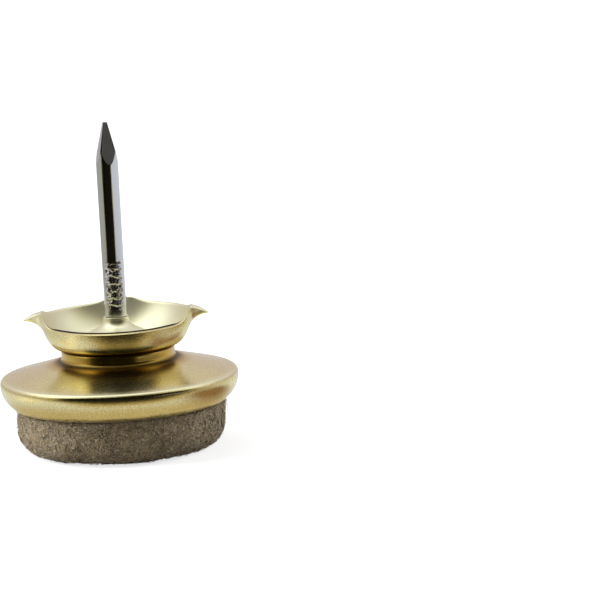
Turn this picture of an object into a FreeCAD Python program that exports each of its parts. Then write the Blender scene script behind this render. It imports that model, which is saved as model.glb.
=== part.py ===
import FreeCAD, Part
import math
import os
from collections import namedtuple

import Sketcher

# Nail-on furniture glide: a wire nail, a claw cup, a pressed shell, a moulded carrier and a felt pad.
# Millimetres, +Z up, origin at the centre of the felt's underside, front of the glide towards -Y.

# Driving sizes: name, value and what it measures
SIZES = [
    ("felt_radius", 10.4, "felt disc"),
    ("felt_height", 4.1, "felt disc"),
    ("felt_overhang", 0.175, "felt beyond the carrier's band"),
    ("felt_lower_round", 1.7, "worn lower edge of the felt"),
    ("felt_upper_round", 0.5, "upper edge of the felt"),
    ("shell_sheet", 0.5, "wall of the pressed shell"),
    ("rim_above_felt", 3.0, "felt top up to the widest line of the rim"),
    ("curl_radius", 2.8, "rim curling in below its widest line"),
    ("lip_angle", 45.0, "how far the curl turns, in degrees"),
    ("lip_length", 0.68, "straight lip after the curl"),
    ("crease_rise", 0.45, "widest line up to the crease of the dome"),
    ("crease_inset", 0.2, "crease in from the widest line"),
    ("dome_rise", 1.6, "crease up to the foot of the neck"),
    ("neck_radius", 5.7, "neck under the claw cup"),
    ("neck_height", 1.15, "foot of the neck up to the crown"),
    ("neck_foot_round", 1.1, "hollow round at the foot of the neck"),
    ("neck_crown_round", 0.3, "round at the top of the neck"),
    ("nail_clearance", 0.05, "nail in the crown and in the cup's collar"),
    ("carrier_clearance", 0.12, "carrier inside the shell"),
    ("nail_radius", 1.1, "shank"),
    ("nail_length", 24.05, "underside of the head to the tip"),
    ("nail_head_radius", 3.4, "flat head inside the neck"),
    ("nail_head_height", 1.0, "flat head"),
    ("point_length", 4.2, "facets of the point"),
    ("point_flat", 0.2, "half width of the blunt tip"),
    ("point_turn", 15.0, "facets turned about the nail, in degrees"),
    ("point_facets", 4, "facets of the point"),
    ("grip_rise", 1.1, "cup's collar up to the first grip mark"),
    ("grip_pitch", 0.72, "grip marks"),
    ("grip_count", 7, "grip marks"),
    ("grip_depth", 0.14, "grip marks"),
    ("grip_width", 0.34, "grip marks"),
    ("crimp_depth", 0.22, "groove that the collar's mouth is crimped into"),
    ("crimp_height", 0.5, "mouth of the collar inside the groove"),
    ("cup_sheet", 0.4, "wall of the claw cup"),
    ("cup_seat_radius", 5.4, "flat underside that sits on the crown"),
    ("cup_heel_round", 0.75, "seat out to the foot of the wall"),
    ("cup_rim_radius", 6.5, "plain rim at the front"),
    ("cup_back_radius", 7.8, "flared rim between the claws at the back"),
    ("cup_rim_round", 0.12, "crown of the rolled rim edge"),
    ("cup_front_height", 2.2, "plain wall at the front"),
    ("cup_back_height", 3.24, "wall between the claws at the back"),
    ("cup_floor_radius", 5.0, "foot of the raised floor"),
    ("cup_floor_rise", 1.5, "raised floor"),
    ("collar_foot_radius", 2.0, "collar round the nail, at its foot"),
    ("collar_height", 1.1, "collar round the nail"),
    ("collar_wall", 0.35, "collar round the nail, at its mouth"),
    ("claw_count", 3, "claws"),
    ("claw_pitch", 90.0, "from claw to claw, in degrees"),
    ("claw_reach", 9.36, "tip of a claw from the axis"),
    ("claw_tip_height", 2.95, "tip of a claw above the seat"),
    ("claw_crest_radius", 7.54, "crest of a claw from the axis"),
    ("claw_crest_height", 3.8, "crest of a claw above the seat"),
    ("claw_spread", 14.0, "half width of a claw at the back, in degrees"),
    ("claw_front_spread", 21.0, "how far the front wall is drawn out with a claw, in degrees"),
    ("claw_front_climb", 12.0, "over which the front rim climbs to a claw, in degrees"),
    ("beak_spread", 4.0, "half width of the beak beyond the crest, in degrees"),
    ("beak_arch", 0.3, "crown of the beak's back"),
]

# Radii that more than one piece uses
BAND_RADIUS = "(Sizes.felt_radius - Sizes.felt_overhang)"
LIP_RUN = "Sizes.lip_length * sin(Sizes.lip_angle) + Sizes.shell_sheet * cos(Sizes.lip_angle)"
CURL_RUN = "Sizes.curl_radius * cos(Sizes.lip_angle)"
CURL_CENTRE = f"({BAND_RADIUS} + Sizes.carrier_clearance + {LIP_RUN} - {CURL_RUN})"
INNER_CURL = "(Sizes.curl_radius - Sizes.shell_sheet)"
RIM_RADIUS = f"({CURL_CENTRE} + Sizes.curl_radius)"
NAIL_HOLE = "(Sizes.nail_radius + Sizes.nail_clearance)"
GROOVE_RADIUS = "(Sizes.nail_radius - Sizes.crimp_depth)"

# Levels up the axis
FELT_TOP = "Sizes.felt_height"
RIM_LEVEL = f"({FELT_TOP} + Sizes.rim_above_felt)"
CREASE_LEVEL = f"({RIM_LEVEL} + Sizes.crease_rise)"
FOOT_LEVEL = f"({CREASE_LEVEL} + Sizes.dome_rise)"
CROWN_LEVEL = f"({FOOT_LEVEL} + Sizes.neck_height)"
HEAD_TOP = f"({CROWN_LEVEL} - Sizes.shell_sheet)"
HEAD_FOOT = f"({HEAD_TOP} - Sizes.nail_head_height)"
TIP_LEVEL = f"({HEAD_FOOT} + Sizes.nail_length)"
COLLAR_FOOT = f"({CROWN_LEVEL} + Sizes.cup_sheet + Sizes.cup_floor_rise)"
COLLAR_TOP = f"({COLLAR_FOOT} + Sizes.collar_height)"
GROOVE_FOOT = f"({COLLAR_TOP} - Sizes.crimp_height)"
GROOVE_TOP = f"({COLLAR_TOP} + Sizes.nail_clearance)"

# A row of the cup's wall between foot and rim: shares of the plain wall's flare and height, shares of a
# claw's reach and height, and the claw's width there beside its width at the rim
Row = namedtuple("Row", "flare climb reach lift width")
OUTSIDE_ROWS = [
    Row(-0.15, 0.00, 0.05, 0.00, 1.6),
    Row(0.38, 0.34, 0.30, 0.31, 1.35),
    Row(0.80, 0.72, 0.48, 0.96, 1.1),
]
INSIDE_ROWS = [
    Row(-0.15, 0.00, 0.06, 0.02, 1.5),
    Row(0.38, 0.34, 0.44, 0.24, 1.3),
    Row(0.80, 0.72, 0.80, 0.66, 1.1),
]
RIM_ROW = Row(1.00, 1.00, 1.00, 1.00, 1.0)

# The cup's wall from one claw to the next: start and finish, radius and height of the plain rim, width of
# the draw and the climb
Sector = namedtuple("Sector", "start finish rim height draw_width climb_width")
SECTOR_STEPS = 20

doc = FreeCAD.newDocument("Glide")
sheet = doc.addObject("Spreadsheet::Sheet", "Sizes")
for line, (alias, number, note) in enumerate(SIZES, start=1):
    sheet.set(f"A{line}", alias)
    sheet.set(f"B{line}", str(number))
    sheet.setAlias(f"B{line}", alias)
    sheet.set(f"C{line}", note)
doc.recompute()


def value(expression):
    """Number that an expression of the sizes stands for."""
    return float(sheet.evalExpression(expression))


def size(alias):
    """Number in the cell with this alias."""
    return float(sheet.get(alias))


# Bodies and sketches
def new_body(label):
    """Empty body whose label names the piece."""
    body = doc.addObject("PartDesign::Body", label)
    body.Label = label
    return body


def origin_feature(body, role):
    """Plane or axis of the body's own origin."""
    return next(item for item in body.Origin.OriginFeatures if item.Role == role)


def new_sketch(body, name, plane):
    """Empty sketch on one of the body's origin planes."""
    sketch = body.newObject("Sketcher::SketchObject", name)
    sketch.AttachmentSupport = [(origin_feature(body, plane), "")]
    sketch.MapMode = "FlatFace"
    return sketch


def bind(sketch, kind, first, second, expression):
    """Dimension between two points of a sketch, bound to an expression."""
    constraint = Sketcher.Constraint(kind, *first, *second, value(expression))
    index = sketch.addConstraint(constraint)
    sketch.setExpression(f"Constraints[{index}]", expression)


def fix_point(sketch, point, across, up):
    """Place a sketch point at two expressions, measured from the origin."""
    origin = (-1, 1)
    vertical_axis = -2
    if across == "0":
        sketch.addConstraint(Sketcher.Constraint("PointOnObject", *point, vertical_axis))
    elif value(across) < 0:
        bind(sketch, "DistanceX", point, origin, f"-({across})")
    else:
        bind(sketch, "DistanceX", origin, point, across)
    bind(sketch, "DistanceY", origin, point, up)


def arc_between(start, finish, level):
    """Shorter arc between two points, with its centre at a given level, and whether it runs backwards."""
    rise = (start.y - level) ** 2 - (finish.y - level) ** 2
    across = (start.x ** 2 - finish.x ** 2 + rise) / (2 * (start.x - finish.x))
    centre = FreeCAD.Vector(across, level, 0)
    first = math.atan2(start.y - level, start.x - across)
    last = math.atan2(finish.y - level, finish.x - across)
    backwards = (last - first) % (2 * math.pi) > math.pi
    if backwards:
        first, last = last, first
    circle = Part.Circle(centre, FreeCAD.Vector(0, 0, 1), start.distanceToPoint(centre))
    return Part.ArcOfCircle(circle, first, last), backwards


def draw_outline(sketch, corners, arc_levels=None):
    """Closed outline through bound corners; arc_levels gives the centre's level of each side that curves."""
    arc_levels = arc_levels or {}
    points = [FreeCAD.Vector(value(across), value(up), 0) for across, up in corners]
    sides = []
    for index, start in enumerate(points):
        finish = points[(index + 1) % len(points)]
        backwards = False
        curve = Part.LineSegment(start, finish)
        if index in arc_levels:
            curve, backwards = arc_between(start, finish, value(arc_levels[index]))
        side = sketch.addGeometry(curve, False)
        sides.append(((side, 2), (side, 1)) if backwards else ((side, 1), (side, 2)))
        if index in arc_levels:
            bind(sketch, "DistanceY", (-1, 1), (side, 3), arc_levels[index])
    for index, (across, up) in enumerate(corners):
        sketch.addConstraint(Sketcher.Constraint("Coincident", *sides[index - 1][1], *sides[index][0]))
        fix_point(sketch, sides[index][0], across, up)


def revolve(body, name, corners, arc_levels=None):
    """Body of revolution about Z from a section in the XZ plane."""
    sketch = new_sketch(body, name + "_section", "XZ_Plane")
    draw_outline(sketch, corners, arc_levels)
    turned = body.newObject("PartDesign::Revolution", name + "_turned")
    turned.Profile = sketch
    turned.ReferenceAxis = (sketch, ["V_Axis"])
    turned.Angle = 360
    doc.recompute()
    return turned


def circle_edge(feature, radius, level):
    """Name of the feature's circular edge with this radius at this level."""
    def miss(edge):
        if not isinstance(edge.Curve, Part.Circle):
            return math.inf
        return abs(edge.Curve.Radius - value(radius)) + abs(edge.Curve.Center.z - value(level))

    edges = feature.Shape.Edges
    nearest = min(range(len(edges)), key=lambda index: miss(edges[index]))
    return f"Edge{nearest + 1}"


def round_edge(body, name, feature, radius, level, rounding):
    """Fillet on one circular edge, with its radius bound to an expression."""
    fillet = body.newObject("PartDesign::Fillet", name)
    fillet.Base = (feature, [circle_edge(feature, radius, level)])
    fillet.Radius = value(rounding)
    fillet.setExpression("Radius", rounding)
    doc.recompute()
    return fillet


def cut_across(body, name, sketch):
    """Pocket cut right through to both sides of its sketch."""
    pocket = body.newObject("PartDesign::Pocket", name + "_cut")
    pocket.Profile = sketch
    pocket.Midplane = True
    pocket.Type = "ThroughAll"
    doc.recompute()
    return pocket


# Felt pad: a disc with a rounded lower edge
def make_felt_pad():
    body = new_body("felt_pad")
    corners = [("0", "0"), ("Sizes.felt_radius", "0"), ("Sizes.felt_radius", FELT_TOP), ("0", FELT_TOP)]
    disc = revolve(body, "felt", corners)
    lower = round_edge(body, "felt_lower_edge", disc, "Sizes.felt_radius", "0", "Sizes.felt_lower_round")
    round_edge(body, "felt_upper_edge", lower, "Sizes.felt_radius", FELT_TOP, "Sizes.felt_upper_round")
    return body


def curl_end(radius):
    """End of the rim's curl, on a circle of this radius about the curl's centre."""
    across = f"({CURL_CENTRE} + ({radius}) * cos(Sizes.lip_angle))"
    up = f"({RIM_LEVEL} - ({radius}) * sin(Sizes.lip_angle))"
    return across, up


def lip_end(radius):
    """End of the straight lip that follows the curl."""
    across, up = curl_end(radius)
    across = f"({across} - Sizes.lip_length * sin(Sizes.lip_angle))"
    up = f"({up} - Sizes.lip_length * cos(Sizes.lip_angle))"
    return across, up


# Base shell: sheet pressed into a crown, a neck, a shallow dome and a rim that curls in below
def make_base_shell():
    body = new_body("base_shell")
    neck_wall = "Sizes.neck_radius - Sizes.shell_sheet"
    corners = [
        (NAIL_HOLE, CROWN_LEVEL),
        ("Sizes.neck_radius", CROWN_LEVEL),
        ("Sizes.neck_radius", FOOT_LEVEL),
        (f"{RIM_RADIUS} - Sizes.crease_inset", CREASE_LEVEL),
        (RIM_RADIUS, RIM_LEVEL),
        curl_end("Sizes.curl_radius"),
        lip_end("Sizes.curl_radius"),
        lip_end(INNER_CURL),
        curl_end(INNER_CURL),
        (f"{RIM_RADIUS} - Sizes.shell_sheet", RIM_LEVEL),
        (neck_wall, f"{FOOT_LEVEL} - Sizes.shell_sheet"),
        (neck_wall, HEAD_TOP),
        (NAIL_HOLE, HEAD_TOP),
    ]
    shoulder, outer_curl, inner_curl = 3, 4, 8
    arc_levels = {shoulder: RIM_LEVEL, outer_curl: RIM_LEVEL, inner_curl: RIM_LEVEL}
    pressed = revolve(body, "shell", corners, arc_levels)
    foot = round_edge(body, "neck_foot", pressed, "Sizes.neck_radius", FOOT_LEVEL, "Sizes.neck_foot_round")
    round_edge(body, "neck_crown", foot, "Sizes.neck_radius", CROWN_LEVEL, "Sizes.neck_crown_round")
    return body


# Pad carrier: moulded disc gripped by the curled rim, with a boss that backs the nail head
def make_pad_carrier():
    body = new_body("pad_carrier")
    clearance = "Sizes.carrier_clearance"
    lip_level = lip_end(INNER_CURL)[1]
    flange = curl_end(f"{INNER_CURL} - {clearance}")
    boss = f"Sizes.neck_radius - Sizes.shell_sheet - {clearance}"
    corners = [
        ("0", FELT_TOP),
        (BAND_RADIUS, FELT_TOP),
        (BAND_RADIUS, f"{lip_level} + {clearance} * tan(Sizes.lip_angle / 2)"),
        flange,
        (flange[0], f"{RIM_LEVEL} - {clearance}"),
        (boss, f"{FOOT_LEVEL} - Sizes.shell_sheet - 2 * {clearance}"),
        (boss, HEAD_FOOT),
        ("0", HEAD_FOOT),
    ]
    revolve(body, "carrier", corners)
    return body


# Nail: flat head, round shank with a crimp groove, facets at the point and grip marks on two sides
def make_nail():
    body = new_body("nail")
    corners = [
        ("0", HEAD_FOOT),
        ("Sizes.nail_head_radius", HEAD_FOOT),
        ("Sizes.nail_head_radius", HEAD_TOP),
        ("Sizes.nail_radius", HEAD_TOP),
        ("Sizes.nail_radius", GROOVE_FOOT),
        (GROOVE_RADIUS, GROOVE_FOOT),
        (GROOVE_RADIUS, GROOVE_TOP),
        ("Sizes.nail_radius", GROOVE_TOP),
        ("Sizes.nail_radius", TIP_LEVEL),
        ("0", TIP_LEVEL),
    ]
    revolve(body, "nail", corners)

    # One facet is a cut along its slope, from its apex on the axis to just outside the shank
    facet = new_sketch(body, "facet_section", "XZ_Plane")
    facet.AttachmentOffset = FreeCAD.Placement(
        FreeCAD.Vector(), FreeCAD.Rotation(FreeCAD.Vector(0, 1, 0), size("point_turn")))
    facet.setExpression("AttachmentOffset.Rotation.Angle", "Sizes.point_turn")
    overrun = "Sizes.point_flat * Sizes.point_length / (Sizes.nail_radius - Sizes.point_flat)"
    outside = "Sizes.nail_radius + Sizes.point_flat"
    apex = f"{TIP_LEVEL} + {overrun}"
    facet_corners = [
        (outside, f"{TIP_LEVEL} - Sizes.point_length - {overrun}"),
        (outside, apex),
        ("0", apex),
    ]
    draw_outline(facet, facet_corners)
    cut = cut_across(body, "facet", facet)
    facets = body.newObject("PartDesign::PolarPattern", "point_facets")
    facets.Originals = [cut]
    facets.Axis = (origin_feature(body, "Z_Axis"), [""])
    facets.Angle = 360
    facets.setExpression("Occurrences", "Sizes.point_facets")
    body.Tip = facets
    doc.recompute()

    # Grip marks are pairs of notches, front and back, repeated up the shank
    mark = new_sketch(body, "grip_section", "YZ_Plane")
    level = f"{COLLAR_TOP} + Sizes.grip_rise"
    mouth = "(Sizes.nail_radius + Sizes.grip_depth)"
    bottom = "(Sizes.nail_radius - Sizes.grip_depth)"
    for side in ("", "-"):
        notch = [
            (f"{side}{mouth}", f"{level} - Sizes.grip_width"),
            (f"{side}{mouth}", f"{level} + Sizes.grip_width"),
            (f"{side}{bottom}", level),
        ]
        draw_outline(mark, notch)
    pair = cut_across(body, "grip", mark)
    marks = body.newObject("PartDesign::LinearPattern", "grip_marks")
    marks.Originals = [pair]
    marks.Direction = (origin_feature(body, "Z_Axis"), [""])
    marks.setExpression("Length", "Sizes.grip_pitch * (Sizes.grip_count - 1)")
    marks.setExpression("Occurrences", "Sizes.grip_count")
    body.Tip = marks
    doc.recompute()
    return body


# Claw cup: thin skins drawn through rows, where a row runs round the axis from one claw to the next
def cup_sectors():
    """Stretches of the cup from claw to claw, the last of them across the plain front."""
    turns = [index * size("claw_pitch") for index in range(int(size("claw_count")))]
    back = (size("cup_back_radius"), size("cup_back_height"), size("claw_spread"), size("claw_spread"))
    front = (size("cup_rim_radius"), size("cup_front_height"), size("claw_front_spread"),
             size("claw_front_climb"))
    sectors = [Sector(start, finish, *back) for start, finish in zip(turns, turns[1:])]
    return sectors + [Sector(turns[-1], turns[0] + 360.0, *front)]


def nearness(sector, angle, spread, flat=0.0):
    """One at the claws at a sector's ends, falling to nought between; flat is the width that stays one."""
    aways = (angle - sector.start, sector.finish - angle)
    return min(1.0, sum(math.exp(-(max(0.0, away - flat) / spread) ** 2) for away in aways))


def draw_row(sector, place):
    """Curve across a sector, with its points closer together near the claws; place gives radius and level."""
    shares = [0.5 - 0.5 * math.cos(math.pi * index / SECTOR_STEPS) for index in range(SECTOR_STEPS + 1)]
    points = []
    for share in shares:
        angle = sector.start + share * (sector.finish - sector.start)
        radius, level = place(angle)
        turn = math.radians(angle)
        points.append(FreeCAD.Vector(radius * math.cos(turn), radius * math.sin(turn), level))
    curve = Part.BSplineCurve()
    curve.interpolate(Points=points, Parameters=shares)
    return curve


def draw_circle(sector, radius, level):
    """Row at a constant radius and level."""
    return draw_row(sector, lambda angle: (radius, level))


def skin(rows):
    """Smooth face from the first row to the last, drawn towards the rows between them."""
    degree = min(3, len(rows) - 1)
    inner_knots = len(rows) - degree - 1
    knots = list(range(inner_knots + 2))
    multiplicities = [degree + 1] + [1] * inner_knots + [degree + 1]
    surface = Part.BSplineSurface()
    surface.buildFromPolesMultsKnots(
        [curve.getPoles() for curve in rows],
        multiplicities, rows[0].getMultiplicities(),
        knots, rows[0].getKnots(),
        False, False, degree, rows[0].Degree)
    return surface.toShape()


def wall_place(sector, row, foot, rim_radius, claw, flat=0.0):
    """Radius and level of a row of the wall by angle; foot and claw are radius and height over the seat."""
    seat = value(CROWN_LEVEL)
    plain_radius = foot[0] + row.flare * (rim_radius - foot[0])
    plain_height = foot[1] + row.climb * (sector.height - foot[1])
    claw_radius = foot[0] + row.reach * (claw[0] - foot[0])
    claw_height = foot[1] + row.lift * (claw[1] - foot[1])

    def place(angle):
        reach = nearness(sector, angle, row.width * sector.draw_width, flat)
        lift = nearness(sector, angle, row.width * sector.climb_width, flat)
        radius = plain_radius + (claw_radius - plain_radius) * reach
        return radius, seat + plain_height + (claw_height - plain_height) * lift
    return place


def wall_skins(sector):
    """Outside, rim and inside of the wall across a sector."""
    seat = value(CROWN_LEVEL)
    cup_sheet = size("cup_sheet")
    heel = size("cup_seat_radius") + size("cup_heel_round")
    outer_foot = (heel, 0.0)
    inner_foot = (heel - cup_sheet, cup_sheet)
    inner_rim = sector.rim - cup_sheet
    tip = (size("claw_reach"), size("claw_tip_height"))
    crest = (size("claw_crest_radius"), size("claw_crest_height"))
    fold = math.degrees(cup_sheet / crest[0])
    outer_crest = wall_place(sector, RIM_ROW, outer_foot, sector.rim, crest, fold)
    inner_crest = wall_place(sector, RIM_ROW, inner_foot, inner_rim, crest)

    def outer_edge(angle):
        radius, level = outer_crest(angle)
        beak = nearness(sector, angle, size("beak_spread"))
        return radius + beak * (tip[0] - crest[0]), level + beak * (tip[1] - crest[1])

    def edge_crown(angle):
        (outer, outer_level), (inner, inner_level) = outer_edge(angle), inner_crest(angle)
        arch = size("cup_rim_round") + size("beak_arch") * nearness(sector, angle, size("beak_spread"))
        return (outer + inner) / 2, (outer_level + inner_level) / 2 + arch

    outside = [draw_circle(sector, size("cup_seat_radius"), seat)]
    for row in OUTSIDE_ROWS:
        outside.append(draw_row(sector, wall_place(sector, row, outer_foot, sector.rim, tip)))
    outside.append(draw_row(sector, outer_edge))
    inside = [draw_circle(sector, size("cup_floor_radius"), seat + cup_sheet)]
    for row in INSIDE_ROWS:
        inside.append(draw_row(sector, wall_place(sector, row, inner_foot, inner_rim, crest)))
    inside.append(draw_row(sector, inner_crest))
    return [skin(outside), skin([outside[-1], draw_row(sector, edge_crown), inside[-1]]), skin(inside)]


def floor_skins(sector):
    """Raised floor, its underside and the collar with its mouth crimped into the nail's groove."""
    seat = value(CROWN_LEVEL)
    cup_sheet = size("cup_sheet")
    collar_level, collar_top_level = value(COLLAR_FOOT), value(COLLAR_TOP)
    bore = value(NAIL_HOLE)
    mouth = value(GROOVE_RADIUS) + size("nail_clearance")
    mouth_level = value(GROOVE_FOOT) + size("nail_clearance")
    collar = mouth + size("collar_wall")
    slope = math.atan2(size("cup_floor_rise"), size("cup_floor_radius") - size("collar_foot_radius"))
    seat_inner = size("cup_floor_radius") - cup_sheet * math.tan(slope / 2)
    throat = size("collar_foot_radius") - cup_sheet * math.sin(slope)
    throat_level = collar_level - cup_sheet * math.cos(slope)
    collar_bend = collar_level + math.tan(slope) * (size("collar_foot_radius") - collar)
    bore_bend = throat_level + math.tan(slope) * (throat - bore)

    seat_foot = draw_circle(sector, seat_inner, seat)
    seat_edge = draw_circle(sector, size("cup_seat_radius"), seat)
    floor_foot = draw_circle(sector, size("cup_floor_radius"), seat + cup_sheet)
    collar_foot = draw_circle(sector, size("collar_foot_radius"), collar_level)
    collar_top = draw_circle(sector, collar, collar_top_level)
    mouth_top = draw_circle(sector, mouth, collar_top_level)
    mouth_foot = draw_circle(sector, mouth, mouth_level + size("crimp_depth"))
    bore_top = draw_circle(sector, bore, mouth_level)
    throat_row = draw_circle(sector, throat, throat_level)
    return [
        skin([seat_edge, seat_foot]),
        skin([seat_foot, throat_row]),
        skin([throat_row, draw_circle(sector, bore, bore_bend), bore_top]),
        skin([bore_top, mouth_foot]),
        skin([mouth_foot, mouth_top]),
        skin([mouth_top, collar_top]),
        skin([collar_top, draw_circle(sector, collar, collar_bend), collar_foot]),
        skin([collar_foot, floor_foot]),
    ]


def make_claw_cup():
    skins = []
    for sector in cup_sectors():
        skins += wall_skins(sector) + floor_skins(sector)
    shell = Part.makeShell(skins)
    shell.sewShape()
    solid = Part.makeSolid(shell)
    if solid.Volume < 0:
        solid.reverse()
    cup = doc.addObject("Part::Feature", "claw_cup")
    cup.Label = "claw_cup"
    cup.Shape = solid
    cup.Placement = FreeCAD.Placement()
    return cup


pieces = [make_felt_pad(), make_pad_carrier(), make_base_shell(), make_nail(), make_claw_cup()]
doc.recompute()

# Nothing is written unless every object is sound
for item in doc.Objects:
    if {"Invalid", "Error"} & set(item.State):
        raise RuntimeError(f"{item.Label} failed: {item.State}")
for piece in pieces:
    if piece.Shape.isNull() or not piece.Shape.isValid():
        raise RuntimeError(f"{piece.Label} has no valid shape")

os.makedirs("parts", exist_ok=True)
for piece in pieces:
    piece.Shape.exportStep(f"parts/{piece.Label}.step")
    print(f"{piece.Label}: {len(piece.Shape.Solids)} solid, {piece.Shape.Volume:.2f} cubic millimetres")
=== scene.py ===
"""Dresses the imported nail-on furniture glide: plated brass, bright steel, grey plastic and wool felt."""
import logging
import math
from dataclasses import dataclass
from enum import Enum
from typing import Sequence

import bmesh
import bpy
import numpy as np
from mathutils import Matrix, Vector, noise

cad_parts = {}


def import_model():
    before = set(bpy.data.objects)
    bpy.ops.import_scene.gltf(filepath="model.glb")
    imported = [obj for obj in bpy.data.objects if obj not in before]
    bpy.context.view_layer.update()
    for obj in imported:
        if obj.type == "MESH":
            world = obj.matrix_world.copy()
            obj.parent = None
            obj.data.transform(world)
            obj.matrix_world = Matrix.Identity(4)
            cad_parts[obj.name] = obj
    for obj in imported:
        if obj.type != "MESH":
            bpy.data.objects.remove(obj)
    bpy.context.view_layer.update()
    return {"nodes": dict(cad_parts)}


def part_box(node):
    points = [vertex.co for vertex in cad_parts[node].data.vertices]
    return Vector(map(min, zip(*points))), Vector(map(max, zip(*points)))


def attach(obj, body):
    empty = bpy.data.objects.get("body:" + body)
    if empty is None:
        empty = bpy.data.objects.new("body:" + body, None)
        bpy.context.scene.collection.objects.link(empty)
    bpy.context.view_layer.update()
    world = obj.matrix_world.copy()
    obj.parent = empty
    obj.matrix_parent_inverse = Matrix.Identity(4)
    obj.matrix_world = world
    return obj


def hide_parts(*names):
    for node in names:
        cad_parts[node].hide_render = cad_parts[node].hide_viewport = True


LOG = logging.getLogger("glide")
MM = 0.001
MERGE_DISTANCE = 1e-4
NOISE_SPAN = (0.3, 0.7)
# Mask of the nail's sheared faces, and on the cup of the front rim's inner half, which is painted nearly
# black there as a painted shadow.
CUT_AND_SHADOW_MASK = "cut_face_and_shadow"
# Mask of paler brass: inside the cup, on its back rim and at its claws' ends, and along the shell's rim
# crease as a painted highlight.
PALE_MASK = "pale_and_highlight"
# Mask of painted shade in the recess under the cup: up to a half it paints a deeper amber, above a half
# nearly black in the crease.
RECESS_SHADE_MASK = "recess_shade"
NECK_SHADE = 0.5
FIBRE_TONE = "fibre_tone"
FIBRE_TONES = (0.02, 1.0)
Colour = tuple[float, float, float]
Point = tuple[float, float]
Span = tuple[float, float]


class Piece(Enum):
    """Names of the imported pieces."""

    NAIL = "nail"
    CLAW_CUP = "claw_cup"
    BASE_SHELL = "base_shell"
    PAD_CARRIER = "pad_carrier"
    FELT_PAD = "felt_pad"


class Slot(Enum):
    """Material slots of the record."""

    STEEL = "bright_steel"
    BRASS = "brass_plate"
    PLASTIC = "grey_plastic"
    FELT = "wool_felt"


def held(value: float) -> float:
    """Holds a share between nought and one."""
    return min(1.0, max(0.0, value))


class Graph:
    """Adds and joins the nodes of one node tree."""

    def __init__(self, tree: bpy.types.NodeTree) -> None:
        """Keeps the tree that nodes go into."""
        self.tree = tree

    def feed(self, socket: bpy.types.NodeSocket, value: object) -> None:
        """Links a socket or sets its constant.

        Args:
            socket: Input that gets the value.
            value: Output socket to link, or a plain constant.
        """
        if isinstance(value, bpy.types.NodeSocket):
            self.tree.links.new(value, socket)
        else:
            socket.default_value = value

    def add(self, kind: str, inputs: dict[object, object] | None = None,
            **settings: object) -> bpy.types.Node:
        """Adds a node.

        Args:
            kind: Type name of the node.
            inputs: Values or output sockets by input name or number.
            settings: Properties of the node.

        Returns:
            The new node.
        """
        node = self.tree.nodes.new(kind)
        for name, setting in settings.items():
            setattr(node, name, setting)
        for key, value in (inputs or {}).items():
            self.feed(node.inputs[key], value)
        return node

    def math(self, operation: str, *values: object) -> bpy.types.NodeSocket:
        """Adds a Math node and gives its result."""
        node = self.add("ShaderNodeMath", dict(enumerate(values)), operation=operation)
        return node.outputs[0]

    def weigh(self, *terms: tuple[object, object]) -> bpy.types.NodeSocket:
        """Adds up values times their weights.

        Args:
            terms: Pairs of a value and its weight.

        Returns:
            The sum.
        """
        total = self.math("MULTIPLY", *terms[0])
        for value, weight in terms[1:]:
            total = self.math("MULTIPLY_ADD", value, weight, total)
        return total

    def vector(self, operation: str, *values: object) -> bpy.types.NodeSocket:
        """Adds a Vector Math node.

        Args:
            operation: Name of the operation.
            values: Its inputs in order; the scale of SCALE comes second.

        Returns:
            The result, a number for LENGTH and DOT_PRODUCT and a vector otherwise.
        """
        keys = (0, "Scale") if operation == "SCALE" else range(len(values))
        node = self.add("ShaderNodeVectorMath", dict(zip(keys, values)), operation=operation)
        return node.outputs["Value" if operation in ("LENGTH", "DOT_PRODUCT") else "Vector"]

    def blend(self, share: object, first: object, second: object, kind: str = "MIX") -> bpy.types.NodeSocket:
        """Mixes two colours.

        Args:
            share: How much of the second.
            first: Colour at a share of nought.
            second: Colour at a share of one.
            kind: Blend type.

        Returns:
            The mixed colour.
        """
        node = self.add("ShaderNodeMix", data_type="RGBA", blend_type=kind)
        self.feed(node.inputs[0], share)
        for socket, colour in zip((node.inputs[6], node.inputs[7]), (first, second)):
            self.feed(socket, (*colour, 1.0) if isinstance(colour, tuple) else colour)
        return node.outputs[2]

    def rescale(self, value: object, low: object, high: object, bottom: float = 0.0, top: float = 1.0,
                curve: str = "SMOOTHSTEP") -> bpy.types.NodeSocket:
        """Maps a value's range from low to high to one from bottom to top, held at its ends."""
        node = self.add("ShaderNodeMapRange", {"Value": value, "From Min": low, "From Max": high,
                                               "To Min": bottom, "To Max": top}, interpolation_type=curve)
        return node.outputs["Result"]

    def noise(self, position: object, scale: float, detail: float = 2.0,
              twist: float = 0.0) -> bpy.types.NodeSocket:
        """Adds a noise texture and gives its value from nought to one."""
        node = self.add("ShaderNodeTexNoise", {"Vector": position, "Scale": scale, "Detail": detail,
                                               "Distortion": twist})
        return node.outputs["Fac"]

    def mask(self, name: str) -> bpy.types.NodeSocket:
        """Reads a mask that a mesh keeps as an attribute."""
        return self.add("ShaderNodeAttribute", attribute_name=name, attribute_type="GEOMETRY").outputs["Fac"]

    def split(self, vector: object) -> bpy.types.bpy_prop_collection:
        """Splits a vector into its X, Y and Z."""
        return self.add("ShaderNodeSeparateXYZ", {"Vector": vector}).outputs

    def emboss(self, shader: bpy.types.Node, height: object) -> None:
        """Bends the normals of a shader by a height in metres."""
        bump = self.add("ShaderNodeBump", {"Height": height, "Strength": 1.0, "Distance": 1.0})
        self.feed(shader.inputs["Normal"], bump.outputs["Normal"])


def fresh_graph(owner: bpy.types.Material | bpy.types.World) -> Graph:
    """Empties the nodes of a material or a room.

    Args:
        owner: The material or the room.

    Returns:
        Its graph.
    """
    owner.use_nodes = True
    owner.node_tree.nodes.clear()
    return Graph(owner.node_tree)


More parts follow.
